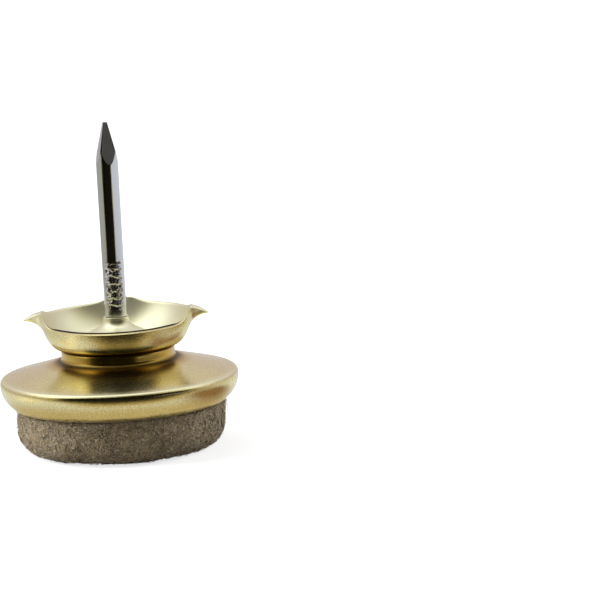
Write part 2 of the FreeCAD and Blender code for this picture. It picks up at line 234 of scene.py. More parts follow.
def add_object(name: str, data: bpy.types.ID) -> bpy.types.Object:
    """Adds an object to the scene.

    Args:
        name: Its name.
        data: Its mesh, camera or lamp.

    Returns:
        The object.
    """
    added = bpy.data.objects.new(name, data)
    bpy.context.scene.collection.objects.link(added)
    return added


def new_group(kind: str, name: str, inputs: dict[str, str],
              outputs: dict[str, str]) -> tuple[Graph, bpy.types.Node, bpy.types.Node]:
    """Starts a node group.

    Args:
        kind: Type name of its tree.
        name: Name of the group.
        inputs: Sorts of socket by input name.
        outputs: Sorts of socket by output name.

    Returns:
        The group's graph, its input node and its output node.
    """
    tree = bpy.data.node_groups.new(name, kind)
    for direction, sockets in (("INPUT", inputs), ("OUTPUT", outputs)):
        for label, sort in sockets.items():
            tree.interface.new_socket(label, in_out=direction, socket_type=f"NodeSocket{sort}")
    graph = Graph(tree)
    return graph, graph.add("NodeGroupInput"), graph.add("NodeGroupOutput")


@dataclass(frozen=True)
class DrawnGrain:
    """Grain of drawn and pressed metal, with streaks that run out from the axis or along it."""

    stretch: tuple[float, float, float] = (0.12, 0.12, 0.25)
    streak_detail: float = 3.0

    def build(self) -> bpy.types.NodeTree:
        """Builds the group.

        Returns:
            Group from a position in millimetres to streaks and fine speckle.
        """
        graph, source, result = new_group(
            "ShaderNodeTree", "drawn_grain",
            {"Position": "Vector", "Streaks": "Float", "Speckle Size": "Float"},
            {"Streak": "Float", "Speckle": "Float"})
        position = source.outputs["Position"]
        around = graph.vector("NORMALIZE", graph.vector("MULTIPLY", position, (1.0, 1.0, 0.0)))
        ring = graph.vector("SCALE", around, source.outputs["Streaks"])
        along = graph.vector("MULTIPLY", position, self.stretch)
        fine = graph.math("DIVIDE", 1.0, source.outputs["Speckle Size"])
        streak = graph.noise(graph.vector("ADD", ring, along), 1.0, self.streak_detail)
        speckle = graph.noise(graph.vector("SCALE", position, fine), 1.0)
        graph.feed(result.inputs["Streak"], streak)
        graph.feed(result.inputs["Speckle"], speckle)
        return graph.tree


@dataclass(frozen=True)
class HandlingMarks:
    """Small marks of handling: dark pits and a warm stain."""

    pit_rarity: float = 0.72
    stain_scale: float = 0.16
    stain_detail: float = 3.0
    stain_twist: float = 0.6
    stain_edge: Span = (0.60, 0.76)

    def build(self) -> bpy.types.NodeTree:
        """Builds the group.

        Returns:
            Group from a position in millimetres to pit and stain masks.
        """
        graph, source, result = new_group(
            "ShaderNodeTree", "handling_marks",
            {"Position": "Vector", "Pit Spacing": "Float", "Pit Size": "Float"},
            {"Pits": "Float", "Stain": "Float"})
        position = source.outputs["Position"]
        spacing = source.outputs["Pit Spacing"]
        cells = graph.add("ShaderNodeTexVoronoi", {
            "Vector": position, "Randomness": 1.0, "Scale": graph.math("DIVIDE", 1.0, spacing)})
        reach = graph.math("DIVIDE", source.outputs["Pit Size"], spacing)
        near = graph.math("LESS_THAN", cells.outputs["Distance"], reach)
        lot = graph.add("ShaderNodeSeparateColor", {"Color": cells.outputs["Color"]}).outputs["Red"]
        chosen = graph.math("GREATER_THAN", lot, self.pit_rarity)
        patches = graph.noise(position, self.stain_scale, self.stain_detail, self.stain_twist)
        graph.feed(result.inputs["Pits"], graph.math("MULTIPLY", near, chosen))
        graph.feed(result.inputs["Stain"], graph.rescale(patches, *self.stain_edge))
        return graph.tree


@dataclass(frozen=True)
class SharedEffects:
    """Node groups that more than one finish uses."""

    grain: bpy.types.NodeTree
    marks: bpy.types.NodeTree


@dataclass(frozen=True)
class Finish:
    """Base of the finishes: a material with one Principled BSDF."""

    slot: Slot

    def start(self) -> tuple[bpy.types.Material, Graph, bpy.types.Node, bpy.types.NodeSocket]:
        """Starts the material.

        Returns:
            The material, its graph, its Principled BSDF and the object position in millimetres.
        """
        material = bpy.data.materials.new(self.slot.value)
        graph = fresh_graph(material)
        shader = graph.add("ShaderNodeBsdfPrincipled")
        graph.add("ShaderNodeOutputMaterial", {"Surface": shader.outputs["BSDF"]})
        place = graph.add("ShaderNodeTexCoord").outputs["Object"]
        return material, graph, shader, graph.vector("SCALE", place, 1.0 / MM)


@dataclass(frozen=True)
class MetalFinish(Finish):
    """Plated or drawn metal with streaks, speckle, pits and a stain, in millimetres."""

    colour: Colour
    shade: Colour
    stain: Colour
    stain_share: float
    # Colour of cut faces; on brass, a nearly black painted shadow on the cup's front rim.
    cut_and_shadow: Colour
    cut_roughness: float
    roughness: float
    roughness_range: float
    streaks: float
    streak_depth: float
    speckle_size: float
    speckle_depth: float
    speckle_share: float
    pit_spacing: float
    pit_size: float
    pit_depth: float = 0.02
    pit_roughness: float = 0.4
    pit_colour: Colour = (0.05, 0.03, 0.01)
    streak_dulling: float = 0.6
    pale: Colour = (0.7, 0.7, 0.7)
    pale_roughness: float = 0.0
    # Painted shade under the cup: a deeper amber in the recess, and nearly black in the crease at the neck's
    # foot and under the cup's heel.
    recess_shade: Colour = (0.5, 0.5, 0.5)
    crease: Colour = (0.1, 0.1, 0.1)
    crease_roughness: float = 0.25

    def build(self, effects: SharedEffects) -> bpy.types.Material:
        """Builds the material.

        Args:
            effects: Shared node groups.

        Returns:
            The finished material.
        """
        material, graph, shader, position = self.start()
        grain = graph.add("ShaderNodeGroup", {
            "Position": position, "Streaks": self.streaks, "Speckle Size": self.speckle_size},
            node_tree=effects.grain).outputs
        marks = graph.add("ShaderNodeGroup", {
            "Position": position, "Pit Spacing": self.pit_spacing, "Pit Size": self.pit_size},
            node_tree=effects.marks).outputs
        streak, speckle, pits = grain["Streak"], grain["Speckle"], marks["Pits"]
        # The cut mask also carries a painted shadow on the cup's front rim, and the pale mask a painted
        # highlight along the shell's rim crease.
        cut_and_shadow, pale, shaded = [graph.mask(name) for name in (CUT_AND_SHADOW_MASK, PALE_MASK, RECESS_SHADE_MASK)]
        # Painted shade under the cup: a deeper amber up to a half of the recess mask, and nearly black above
        # it.
        recess_shaded = graph.rescale(shaded, 0.0, NECK_SHADE, curve="LINEAR")
        crease_shaded = graph.rescale(shaded, NECK_SHADE, 1.0, curve="LINEAR")
        stained = graph.math("MULTIPLY", marks["Stain"], self.stain_share)

        tone = graph.weigh((streak, 1.0 - self.speckle_share), (speckle, self.speckle_share))
        colour = graph.blend(graph.rescale(tone, *NOISE_SPAN), self.shade, self.colour)
        for share, layer in ((stained, self.stain), (pits, self.pit_colour), (pale, self.pale),
                             (recess_shaded, self.recess_shade), (crease_shaded, self.crease), (cut_and_shadow, self.cut_and_shadow)):
            colour = graph.blend(share, colour, layer)
        graph.feed(shader.inputs["Base Color"], colour)

        dulling = graph.weigh((streak, self.streak_dulling), (speckle, 1.0 - self.streak_dulling))
        dullest = self.roughness + self.roughness_range
        rough = graph.rescale(dulling, *NOISE_SPAN, self.roughness, dullest, "LINEAR")
        rougher = graph.weigh((pits, self.pit_roughness), (cut_and_shadow, self.cut_roughness),
                              (pale, self.pale_roughness), (crease_shaded, self.crease_roughness))
        graph.feed(shader.inputs["Roughness"], graph.math("ADD", rough, rougher))
        shader.inputs["Metallic"].default_value = 1.0
        graph.emboss(shader, graph.weigh((streak, self.streak_depth * MM), (speckle, self.speckle_depth * MM),
                                         (pits, -self.pit_depth * MM)))
        return material


@dataclass(frozen=True)
class PlasticFinish(Finish):
    """Moulded plastic with a slight mottle, in millimetres."""

    colour: Colour
    shade: Colour
    roughness: float
    roughness_range: float = 0.15
    mottle_scale: float = 1.4
    mottle_detail: float = 3.0
    pebble_scale: float = 9.0
    pebble_depth: float = 0.012

    def build(self) -> bpy.types.Material:
        """Builds the material.

        Returns:
            The finished material.
        """
        material, graph, shader, position = self.start()
        mottle = graph.noise(position, self.mottle_scale, self.mottle_detail)
        rough = graph.rescale(mottle, *NOISE_SPAN, self.roughness, self.roughness + self.roughness_range)
        graph.feed(shader.inputs["Base Color"], graph.blend(mottle, self.shade, self.colour))
        graph.feed(shader.inputs["Roughness"], rough)
        pebbles = graph.noise(position, self.pebble_scale)
        graph.emboss(shader, graph.math("MULTIPLY", pebbles, self.pebble_depth * MM))
        return material


@dataclass(frozen=True)
class Threads:
    """One set of threads that show in the felt: colour, shift, curls per millimetre, width and strength."""

    colour: Colour
    shift: float
    scale: float
    width: float
    strength: float


@dataclass(frozen=True)
class FeltFinish(Finish):
    """Heathered wool: curling dark, tan and light threads over a taupe ground, in millimetres."""

    ground: Colour
    dark: Threads
    tan: Threads
    light: Threads
    thread_curl: float = 1.2
    thread_relief: float = 0.05
    cloud_scale: float = 0.55
    cloud_detail: float = 3.0
    cloud_shade: float = 0.72
    fuzz_scale: float = 4.0
    fuzz_detail: float = 3.0
    fuzz_relief: float = 0.12
    tan_tones: Span = (0.25, 0.45)
    light_tones: Span = (0.55, 0.8)
    roughness: float = 0.95
    specular: float = 0.15
    sheen: float = 0.25
    sheen_roughness: float = 0.6

    def draw_threads(self, graph: Graph, position: bpy.types.NodeSocket,
                     threads: Threads) -> bpy.types.NodeSocket:
        """Draws curling threads where a twisted noise crosses its middle value.

        Args:
            graph: Graph of the material.
            position: Object position in millimetres.
            threads: Set of threads, moved by its shift so that it differs from the others.

        Returns:
            Mask of the threads.
        """
        moved = graph.vector("ADD", position, (threads.shift, -threads.shift, 0.7 * threads.shift))
        field = graph.noise(moved, threads.scale, 1.0, self.thread_curl)
        off_line = graph.math("ABSOLUTE", graph.math("SUBTRACT", field, 0.5))
        return graph.rescale(off_line, 0.0, threads.width, 1.0, 0.0)

    def build(self) -> bpy.types.Material:
        """Builds the material.

        Returns:
            The finished material.
        """
        material, graph, shader, position = self.start()
        cloud = graph.rescale(graph.noise(position, self.cloud_scale, self.cloud_detail), *NOISE_SPAN)
        colour = graph.blend(cloud, tuple(self.cloud_shade * part for part in self.ground), self.ground)
        sets = (self.dark, self.tan, self.light)
        darks, tans, lights = [self.draw_threads(graph, position, threads) for threads in sets]
        for mask, threads in zip((darks, tans, lights), sets):
            colour = graph.blend(graph.math("MULTIPLY", mask, threads.strength), colour, threads.colour)
        tone = graph.mask(FIBRE_TONE)
        fibre = graph.blend(graph.rescale(tone, *self.tan_tones), self.dark.colour, self.tan.colour)
        fibre = graph.blend(graph.rescale(tone, *self.light_tones), fibre, self.light.colour)
        on_fibre = graph.math("GREATER_THAN", tone, FIBRE_TONES[0] / 2)
        graph.feed(shader.inputs["Base Color"], graph.blend(on_fibre, colour, fibre))
        for label, value in (("Roughness", self.roughness), ("Specular IOR Level", self.specular),
                             ("Sheen Weight", self.sheen), ("Sheen Roughness", self.sheen_roughness)):
            shader.inputs[label].default_value = value
        fuzz = graph.noise(position, self.fuzz_scale, self.fuzz_detail)
        graph.emboss(shader, graph.weigh((lights, self.thread_relief * MM), (darks, -self.thread_relief * MM),
                                         (fuzz, self.fuzz_relief * MM)))
        return material


def surface_from_grid(name: str, grid: np.ndarray, closed_rows: bool, sharp_degrees: float,
                      masks: dict[str, np.ndarray] | None = None) -> bpy.types.Object:
    """Makes a smooth mesh object from rings of points.

    Args:
        name: Name of the object.
        grid: Points in millimetres, by ring and then round the ring.
        closed_rows: Whether the last ring joins the first.
        sharp_degrees: Edges bent by more than this stay sharp.
        masks: Values by ring and then round the ring, kept as attributes for the finish.

    Returns:
        The object, linked to the scene.
    """
    rings, around = grid.shape[:2]
    faces = []
    for ring in range(rings if closed_rows else rings - 1):
        following = (ring + 1) % rings
        for step in range(around):
            ahead = (step + 1) % around
            faces.append((ring * around + step, ring * around + ahead,
                          following * around + ahead, following * around + step))
    mesh = bpy.data.meshes.new(name)
    mesh.from_pydata((grid.reshape(-1, 3) * MM).tolist(), [], faces)
    for label, mask in (masks or {}).items():
        layer = mesh.attributes.new(label, "FLOAT", "POINT")
        layer.data.foreach_set("value", mask.astype(np.float32).ravel())
    work = bmesh.new()
    work.from_mesh(mesh)
    bmesh.ops.remove_doubles(work, verts=work.verts, dist=MERGE_DISTANCE * MM)
    bmesh.ops.recalc_face_normals(work, faces=work.faces)
    work.to_mesh(mesh)
    work.free()
    mesh.shade_smooth()
    mesh.set_sharp_from_angle(angle=math.radians(sharp_degrees))
    return add_object(name, mesh)


def spin(outline: Sequence[Point], steps: int) -> np.ndarray:
    """Turns an outline of radii and levels about Z.

    Args:
        outline: Radius and level of each ring.
        steps: Points round a ring.

    Returns:
        Grid of points.
    """
    turns = np.linspace(0.0, 2.0 * math.pi, steps, endpoint=False)
    pairs = np.array(outline)
    return np.stack([pairs[:, :1] * np.cos(turns), pairs[:, :1] * np.sin(turns),
                     np.repeat(pairs[:, 1:], steps, axis=1)], axis=2)


def on_circle(centre: Point, radius: float, degrees: float) -> Point:
    """Gives the point of a circle at an angle above the horizontal."""
    angle = math.radians(degrees)
    return centre[0] + radius * math.cos(angle), centre[1] + radius * math.sin(angle)


def arc(centre: Point, radius: float, start: float, finish: float, steps: int) -> list[Point]:
    """Gives the points of an arc between two angles in degrees above the horizontal."""
    return [on_circle(centre, radius, degrees) for degrees in np.linspace(start, finish, steps + 1)]


def round_corner(before: Point, corner: Point, after: Point, radius: float, steps: int) -> list[Point]:
    """Rounds the corner between two straight runs of an outline.

    Args:
        before: Point on the run that comes in.
        corner: The corner.
        after: Point on the run that goes out.
        radius: Radius of the round.
        steps: Stretches along it.

    Returns:
        Points of the round in order.
    """
    here = np.array(corner)
    back = (np.array(before) - here) / np.linalg.norm(np.array(before) - here)
    ahead = (np.array(after) - here) / np.linalg.norm(np.array(after) - here)
    half = 0.5 * math.acos(float(np.clip(back @ ahead, -1.0, 1.0)))
    middle = (back + ahead) / np.linalg.norm(back + ahead)
    centre = here + middle * radius / math.sin(half)
    first = here + back * radius / math.tan(half) - centre
    last = here + ahead * radius / math.tan(half) - centre
    sweep = math.atan2(first[0] * last[1] - first[1] * last[0], float(first @ last))
    points = []
    for index in range(steps + 1):
        turn = sweep * index / steps
        points.append((centre[0] + first[0] * math.cos(turn) - first[1] * math.sin(turn),
                       centre[1] + first[0] * math.sin(turn) + first[1] * math.cos(turn)))
    return points


def spline(rows: Sequence[Point], steps: int) -> list[Point]:
    """Runs a clamped B-spline of degree three at most along its control points.

    Args:
        rows: Control points.
        steps: Stretches along the curve.

    Returns:
        Points of the curve.
    """
    points = np.array(rows)
    degree = min(3, len(rows) - 1)
    spans = len(rows) - degree
    knots = [0.0] * degree + list(range(spans + 1)) + [float(spans)] * degree
    result = []
    for index in range(steps + 1):
        place = spans * index / steps
        span = min(int(place), spans - 1) + degree
        work = [points[span - degree + offset] for offset in range(degree + 1)]
        for level in range(1, degree + 1):
            for offset in range(degree, level - 1, -1):
                left = knots[span - degree + offset]
                right = knots[span + 1 + offset - level]
                share = (place - left) / (right - left)
                work[offset] = (1.0 - share) * work[offset - 1] + share * work[offset]
        result.append((float(work[degree][0]), float(work[degree][1])))
    return result


@dataclass
class BaseShell:
    """Pressed flange with a neck, a shallow dome and a curled rim, in millimetres and degrees."""

    sheet: float = 0.5
    curl_radius: float = 2.8
    curl_start: float = -2.0
    lip_angle: float = 45.0
    lip_length: float = 0.68
    lip_round: float = 0.15
    crease_rise: float = 0.45
    crease_inset: float = 0.2
    crease_round: float = 0.3
    crease_run: float = 30.0
    bulge_start: float = 22.0
    dome_rise: float = 1.6
    dome_rings: tuple[float, ...] = (0.3, 0.45, 0.6, 0.75, 0.88)
    neck_radius: float = 5.7
    neck_height: float = 1.15
    neck_foot_round: float = 0.5
    neck_crown_round: float = 0.3
    crown_ring: float = 3.0
    hole_radius: float = 1.15
    # Painted shade under the cup: how far it runs out on the dome, and how strongly it darkens the crease at
    # the neck's foot.
    shade_width: float = 1.4
    crease_share: float = 1.8
    # Width of the painted highlight along the rim's crease.
    highlight_width: float = 0.28
    steps_round: int = 256
    sharp_degrees: float = 35.0

    def outline(self, rim_radius: float, crown_level: float) -> list[Point]:
        """Works out the closed section of the sheet.

        Args:
            rim_radius: Widest line of the rim.
            crown_level: Top of the neck.

        Returns:
            Radius and level of each point of the section.
        """
        foot = crown_level - self.neck_height
        crease = foot - self.dome_rise
        rim = crease - self.crease_rise
        shoulder = (rim_radius - self.crease_inset, crease)
        squares = self.crease_rise ** 2 - rim_radius ** 2 + shoulder[0] ** 2
        across = squares / (2 * (shoulder[0] - rim_radius))
        bulge = rim_radius - across
        top_angle = math.degrees(math.asin(self.crease_rise / bulge))
        shoulder_run = on_circle((across, rim), bulge, top_angle - self.crease_run)
        centre = (rim_radius - self.curl_radius, rim)
        inner = self.curl_radius - self.sheet
        slant = math.radians(self.lip_angle)
        step = (-self.lip_length * math.sin(slant), -self.lip_length * math.cos(slant))
        outer_end = on_circle(centre, self.curl_radius, -self.lip_angle)
        inner_end = on_circle(centre, inner, -self.lip_angle)
        outer_lip = (outer_end[0] + step[0], outer_end[1] + step[1])
        inner_lip = (inner_end[0] + step[0], inner_end[1] + step[1])
        head_top = crown_level - self.sheet
        neck_wall = self.neck_radius - self.sheet
        neck_crown = (self.neck_radius, crown_level)
        neck_foot = (self.neck_radius, foot)
        points = [(self.hole_radius, crown_level), (self.crown_ring, crown_level)]
        points += round_corner((0.0, crown_level), neck_crown, neck_foot, self.neck_crown_round, steps=8)
        points += round_corner(neck_crown, neck_foot, shoulder, self.neck_foot_round, steps=12)
        dome_run = shoulder[0] - self.neck_radius
        points += [(self.neck_radius + share * dome_run, foot - share * self.dome_rise)
                   for share in self.dome_rings]
        points += round_corner(neck_foot, shoulder, shoulder_run, self.crease_round, steps=8)
        points += arc((across, rim), bulge, top_angle - self.bulge_start, 0.0, steps=6)
        points += arc(centre, self.curl_radius, self.curl_start, -self.lip_angle, steps=24)
        points += round_corner(outer_end, outer_lip, inner_lip, self.lip_round, steps=5)
        points += [inner_lip]
        points += arc(centre, inner, -self.lip_angle, 0.0, steps=10)
        return points + [(neck_wall, foot - self.sheet), (neck_wall, head_top), (self.hole_radius, head_top)]

    def recess_shade(self, radius: float) -> float:
        """Tells how much painted shade a ring gets in the recess under the cup, where the brass is painted
        darker.

        Args:
            radius: Radius of the ring.

        Returns:
            One in the crease at the foot of the neck, a half on the neck, nought out on the dome.
        """
        beyond = radius - self.neck_radius - self.neck_foot_round
        if beyond > 0.0:
            return NECK_SHADE * max(0.0, 1.0 - beyond / self.shade_width) ** 2
        middle = 1.0 - abs(2.0 * (radius - self.neck_radius) / self.neck_foot_round - 1.0)
        return NECK_SHADE + (1.0 - NECK_SHADE) * held(self.crease_share * middle)

    def build(self, rim_radius: float, crown_level: float) -> bpy.types.Object:
        """Makes the shell.

        Args:
            rim_radius: Widest line of the rim.
            crown_level: Top of the neck.

        Returns:
            The object.
        """
        outline = self.outline(rim_radius, crown_level)
        crease = (rim_radius - self.crease_inset, crown_level - self.neck_height - self.dome_rise)
        # Painted shade in the recess under the cup, by radius.
        shaded = [[self.recess_shade(radius)] for radius, _ in outline]
        # Paler brass along the rim's crease, a painted highlight.
        wear_and_highlight = [[max(0.0, 1.0 - math.dist(point, crease) / self.highlight_width)] for point in outline]
        masks = {RECESS_SHADE_MASK: np.repeat(shaded, self.steps_round, axis=1),
                 PALE_MASK: np.repeat(wear_and_highlight, self.steps_round, axis=1)}
        grid = spin(outline, self.steps_round)
        return surface_from_grid("base_shell_pressed", grid, True, self.sharp_degrees, masks)


@dataclass(frozen=True)
class WallRow:
    """One row of the cup's wall: shares of the plain wall and of a claw, and the claw's width there."""

    flare: float
    climb: float
    reach: float
    lift: float
    width: float


@dataclass(frozen=True)
class Sector:
    """Stretch of the cup from one claw to the next, in millimetres and degrees."""

    start: float
    finish: float
    rim: float
    height: float
    draw_width: float
    climb_width: float

    def nearness(self, angle: float, spread: float, flat: float = 0.0) -> float:
        """Tells how near an angle is to a claw, one at it or within its flat and nought between claws."""
        aways = (angle - self.start, self.finish - angle)
        return min(1.0, sum(math.exp(-(max(0.0, away - flat) / spread) ** 2) for away in aways))


@dataclass
class ClawCup:
    """Thin pressed dish whose wall is drawn out into three claws, in millimetres and degrees."""

    sheet: float = 0.4
    seat_radius: float = 5.4
    heel_round: float = 0.75
    rim_round: float = 0.12
    floor_radius: float = 5.0
    floor_rise: float = 1.5
    floor_rings: tuple[float, ...] = (0.25, 0.5, 0.75)
    collar_foot_radius: float = 2.0
    collar_height: float = 1.1
    collar_wall: float = 0.35
    collar_edge: float = 0.06
    mouth_radius: float = 0.93
    bore_radius: float = 1.15
    crimp_rise: float = 0.67
    crimp_depth: float = 0.22
    tip: Point = (9.36, 2.95)
    crest: Point = (7.54, 3.8)
    beak_spread: float = 4.0
    beak_arch: float = 0.3
    sectors: tuple[Sector, ...] = (
        Sector(0.0, 90.0, 7.8, 3.24, 14.0, 14.0),
        Sector(90.0, 180.0, 7.8, 3.24, 14.0, 14.0),
        Sector(180.0, 360.0, 6.5, 2.2, 21.0, 12.0),
    )
    outside_rows: tuple[WallRow, ...] = (
        WallRow(-0.15, 0.00, 0.05, 0.00, 1.6),
        WallRow(0.38, 0.34, 0.30, 0.31, 1.35),
        WallRow(0.80, 0.72, 0.48, 0.96, 1.1),
    )
    inside_rows: tuple[WallRow, ...] = (
        WallRow(-0.15, 0.00, 0.06, 0.02, 1.5),
        WallRow(0.38, 0.34, 0.44, 0.24, 1.3),
        WallRow(0.80, 0.72, 0.80, 0.66, 1.1),
    )
    rim_row: WallRow = WallRow(1.0, 1.0, 1.0, 1.0, 1.0)
    rim_bevel: float = 0.22
    front_angle: float = 270.0
    front_end: float = 86.0
    front_fade: float = 22.0
    # Painted shade under the cup's heel: full below this height, gone over the fade above it.
    heel_shade_top: float = 0.34
    heel_shade_fade: float = 0.22
    claw_paleness: float = 0.7
    pale_spread: float = 8.0
    wall_steps: int = 28
    rim_steps: int = 8
    columns_per_degree: float = 0.9
    sharp_degrees: float = 42.0

    def place(self, sector: Sector, row: WallRow, angle: float, foot: Point, rim: float, claw: Point,
              flat: float = 0.0) -> Point:
        """Places a row of the wall.

        Args:
            sector: Stretch that the angle is in.
            row: Row of the wall.
            angle: Angle in degrees.
            foot: Radius and height of the wall's foot.
            rim: Radius of the plain rim.
            claw: Radius and height of the claw.
            flat: Half width of the folded crest in degrees.

        Returns:
            Radius and height over the seat.
        """
        reach = sector.nearness(angle, row.width * sector.draw_width, flat)
        lift = sector.nearness(angle, row.width * sector.climb_width, flat)
        plain = (foot[0] + row.flare * (rim - foot[0]), foot[1] + row.climb * (sector.height - foot[1]))
        drawn = (foot[0] + row.reach * (claw[0] - foot[0]), foot[1] + row.lift * (claw[1] - foot[1]))
        return plain[0] + (drawn[0] - plain[0]) * reach, plain[1] + (drawn[1] - plain[1]) * lift

    def floor(self) -> list[Point]:
        """Works out the section from the foot of the floor over the collar and back under to the seat.

        Returns:
            Radius and height over the seat of each point.
        """
        run = self.collar_foot_radius - self.floor_radius
        slope = math.atan2(self.floor_rise, -run)
        collar = self.mouth_radius + self.collar_wall
        foot = self.sheet + self.floor_rise
        top = foot + self.collar_height
        bend = foot + math.tan(slope) * (self.collar_foot_radius - collar)
        throat = (self.collar_foot_radius - self.sheet * math.sin(slope), foot - self.sheet * math.cos(slope))
        bore_bend = throat[1] + math.tan(slope) * (throat[0] - self.bore_radius)
        bore_top = top - self.crimp_rise
        seat_inner = self.floor_radius - self.sheet * math.tan(slope / 2)
        points = [(self.floor_radius + run * share, self.sheet + self.floor_rise * share)
                  for share in self.floor_rings]
        collar_run = [(self.collar_foot_radius, foot), (collar, bend), (collar, top - self.collar_edge)]
        mouth = (self.mouth_radius, top)
        points += spline(collar_run, steps=12)
        points += round_corner((collar, bend), (collar, top), mouth, self.collar_edge, steps=3)
        points += [mouth, (self.mouth_radius, bore_top + self.crimp_depth)]
        points += spline([(self.bore_radius, bore_top), (self.bore_radius, bore_bend), throat], steps=6)
        return points + [(seat_inner, 0.0)]

    def section(self, sector: Sector, angle: float) -> list[Point]:
        """Works out the closed section of the cup at one angle.

        Args:
            sector: Stretch that the angle is in.
            angle: Angle in degrees.

        Returns:
            Radius and height over the seat of each point.
        """
        heel = self.seat_radius + self.heel_round
        outer_foot = (heel, 0.0)
        inner_foot = (heel - self.sheet, self.sheet)
        inner_rim = sector.rim - self.sheet
        fold = math.degrees(self.sheet / self.crest[0])
        beak = sector.nearness(angle, self.beak_spread)
        folded = self.place(sector, self.rim_row, angle, outer_foot, sector.rim, self.crest, fold)
        outer = tuple(at + beak * (end - start) for at, start, end in zip(folded, self.crest, self.tip))
        inner = self.place(sector, self.rim_row, angle, inner_foot, inner_rim, self.crest)
        rise = self.rim_round + beak * self.beak_arch
        crown = ((outer[0] + inner[0]) / 2, (outer[1] + inner[1]) / 2 + rise)
        inner = (inner[0], inner[1] + self.rim_bevel * self.front_share(angle))
        outside = [(self.seat_radius, 0.0)]
        for row in self.outside_rows:
            outside.append(self.place(sector, row, angle, outer_foot, sector.rim, self.tip))
        inside = [(self.floor_radius, self.sheet)]
        for row in self.inside_rows:
            inside.append(self.place(sector, row, angle, inner_foot, inner_rim, self.crest))
        points = spline(outside + [outer], self.wall_steps)
        points += spline([outer, crown, inner], self.rim_steps)[1:]
        points += spline(inside + [inner], self.wall_steps)[-2::-1]
        return points + self.floor()

    def front_share(self, angle: float) -> float:
        """Tells how far an angle is on the plain front of the rim, one there and nought beside it."""
        return held((self.front_end - abs(angle - self.front_angle)) / self.front_fade)

    def rim_shadow_mask(self, angle: float, rows: int) -> list[float]:
        """Marks the inner half of the plain rim at the front, which is painted nearly black as a painted
        shadow of the rim's inner side.

        Args:
            angle: Angle in degrees.
            rows: Points of a section.

        Returns:
            One on the painted shadow and nought elsewhere.
        """
        shown = self.front_share(angle)
        first = self.wall_steps + self.rim_steps // 2
        last = self.wall_steps + self.rim_steps
        return [shown if first <= row <= last else 0.0 for row in range(rows)]

    def pale_mask(self, sector: Sector, angle: float, rows: int) -> list[float]:
        """Marks the inside, the rim's edge at the back and the claws' ends, which get a paler brass colour.

        Args:
            sector: Stretch that the angle is in.
            angle: Angle in degrees.
            rows: Points of a section.

        Returns:
            One where it is paler and nought elsewhere.
        """
        drawn = self.claw_paleness * sector.nearness(angle, self.pale_spread)
        shares = [held(2.0 * row / self.wall_steps - 1.0) * drawn for row in range(self.wall_steps)]
        shares += [1.0 - self.front_share(angle)] * self.rim_steps
        return shares + [1.0] * (rows - len(shares))

    def heel_shade_mask(self, section: Sequence[Point]) -> list[float]:
        """Marks the underside of the heel, which closes the recess over the neck, for nearly black painted
        shade.
        """
        return [held((self.heel_shade_top - height) / self.heel_shade_fade) if row <= self.wall_steps else 0.0
                for row, (_, height) in enumerate(section)]

    def build(self, seat_level: float) -> bpy.types.Object:
        """Makes the cup.

        Args:
            seat_level: Level of the flat underside.

        Returns:
            The object.
        """
        columns = []
        masks: dict[str, list[list[float]]] = {CUT_AND_SHADOW_MASK: [], PALE_MASK: [], RECESS_SHADE_MASK: []}
        for sector in self.sectors:
            steps = int((sector.finish - sector.start) * self.columns_per_degree)
            for index in range(steps):
                share = 0.5 - 0.5 * math.cos(math.pi * index / steps)
                angle = sector.start + share * (sector.finish - sector.start)
                turn = math.radians(angle)
                section = self.section(sector, angle)
                columns.append([(radius * math.cos(turn), radius * math.sin(turn), seat_level + height)
                                for radius, height in section])
                # Painted shadow on the front rim, paler brass inside and at the claws, and painted shade
                # under the heel.
                masks[CUT_AND_SHADOW_MASK].append(self.rim_shadow_mask(angle, len(section)))
                masks[PALE_MASK].append(self.pale_mask(sector, angle, len(section)))
                masks[RECESS_SHADE_MASK].append(self.heel_shade_mask(section))
        grid = np.array(columns).transpose(1, 0, 2)
        return surface_from_grid("claw_cup_pressed", grid, True, self.sharp_degrees,
                                 {label: np.array(mask).T for label, mask in masks.items()})


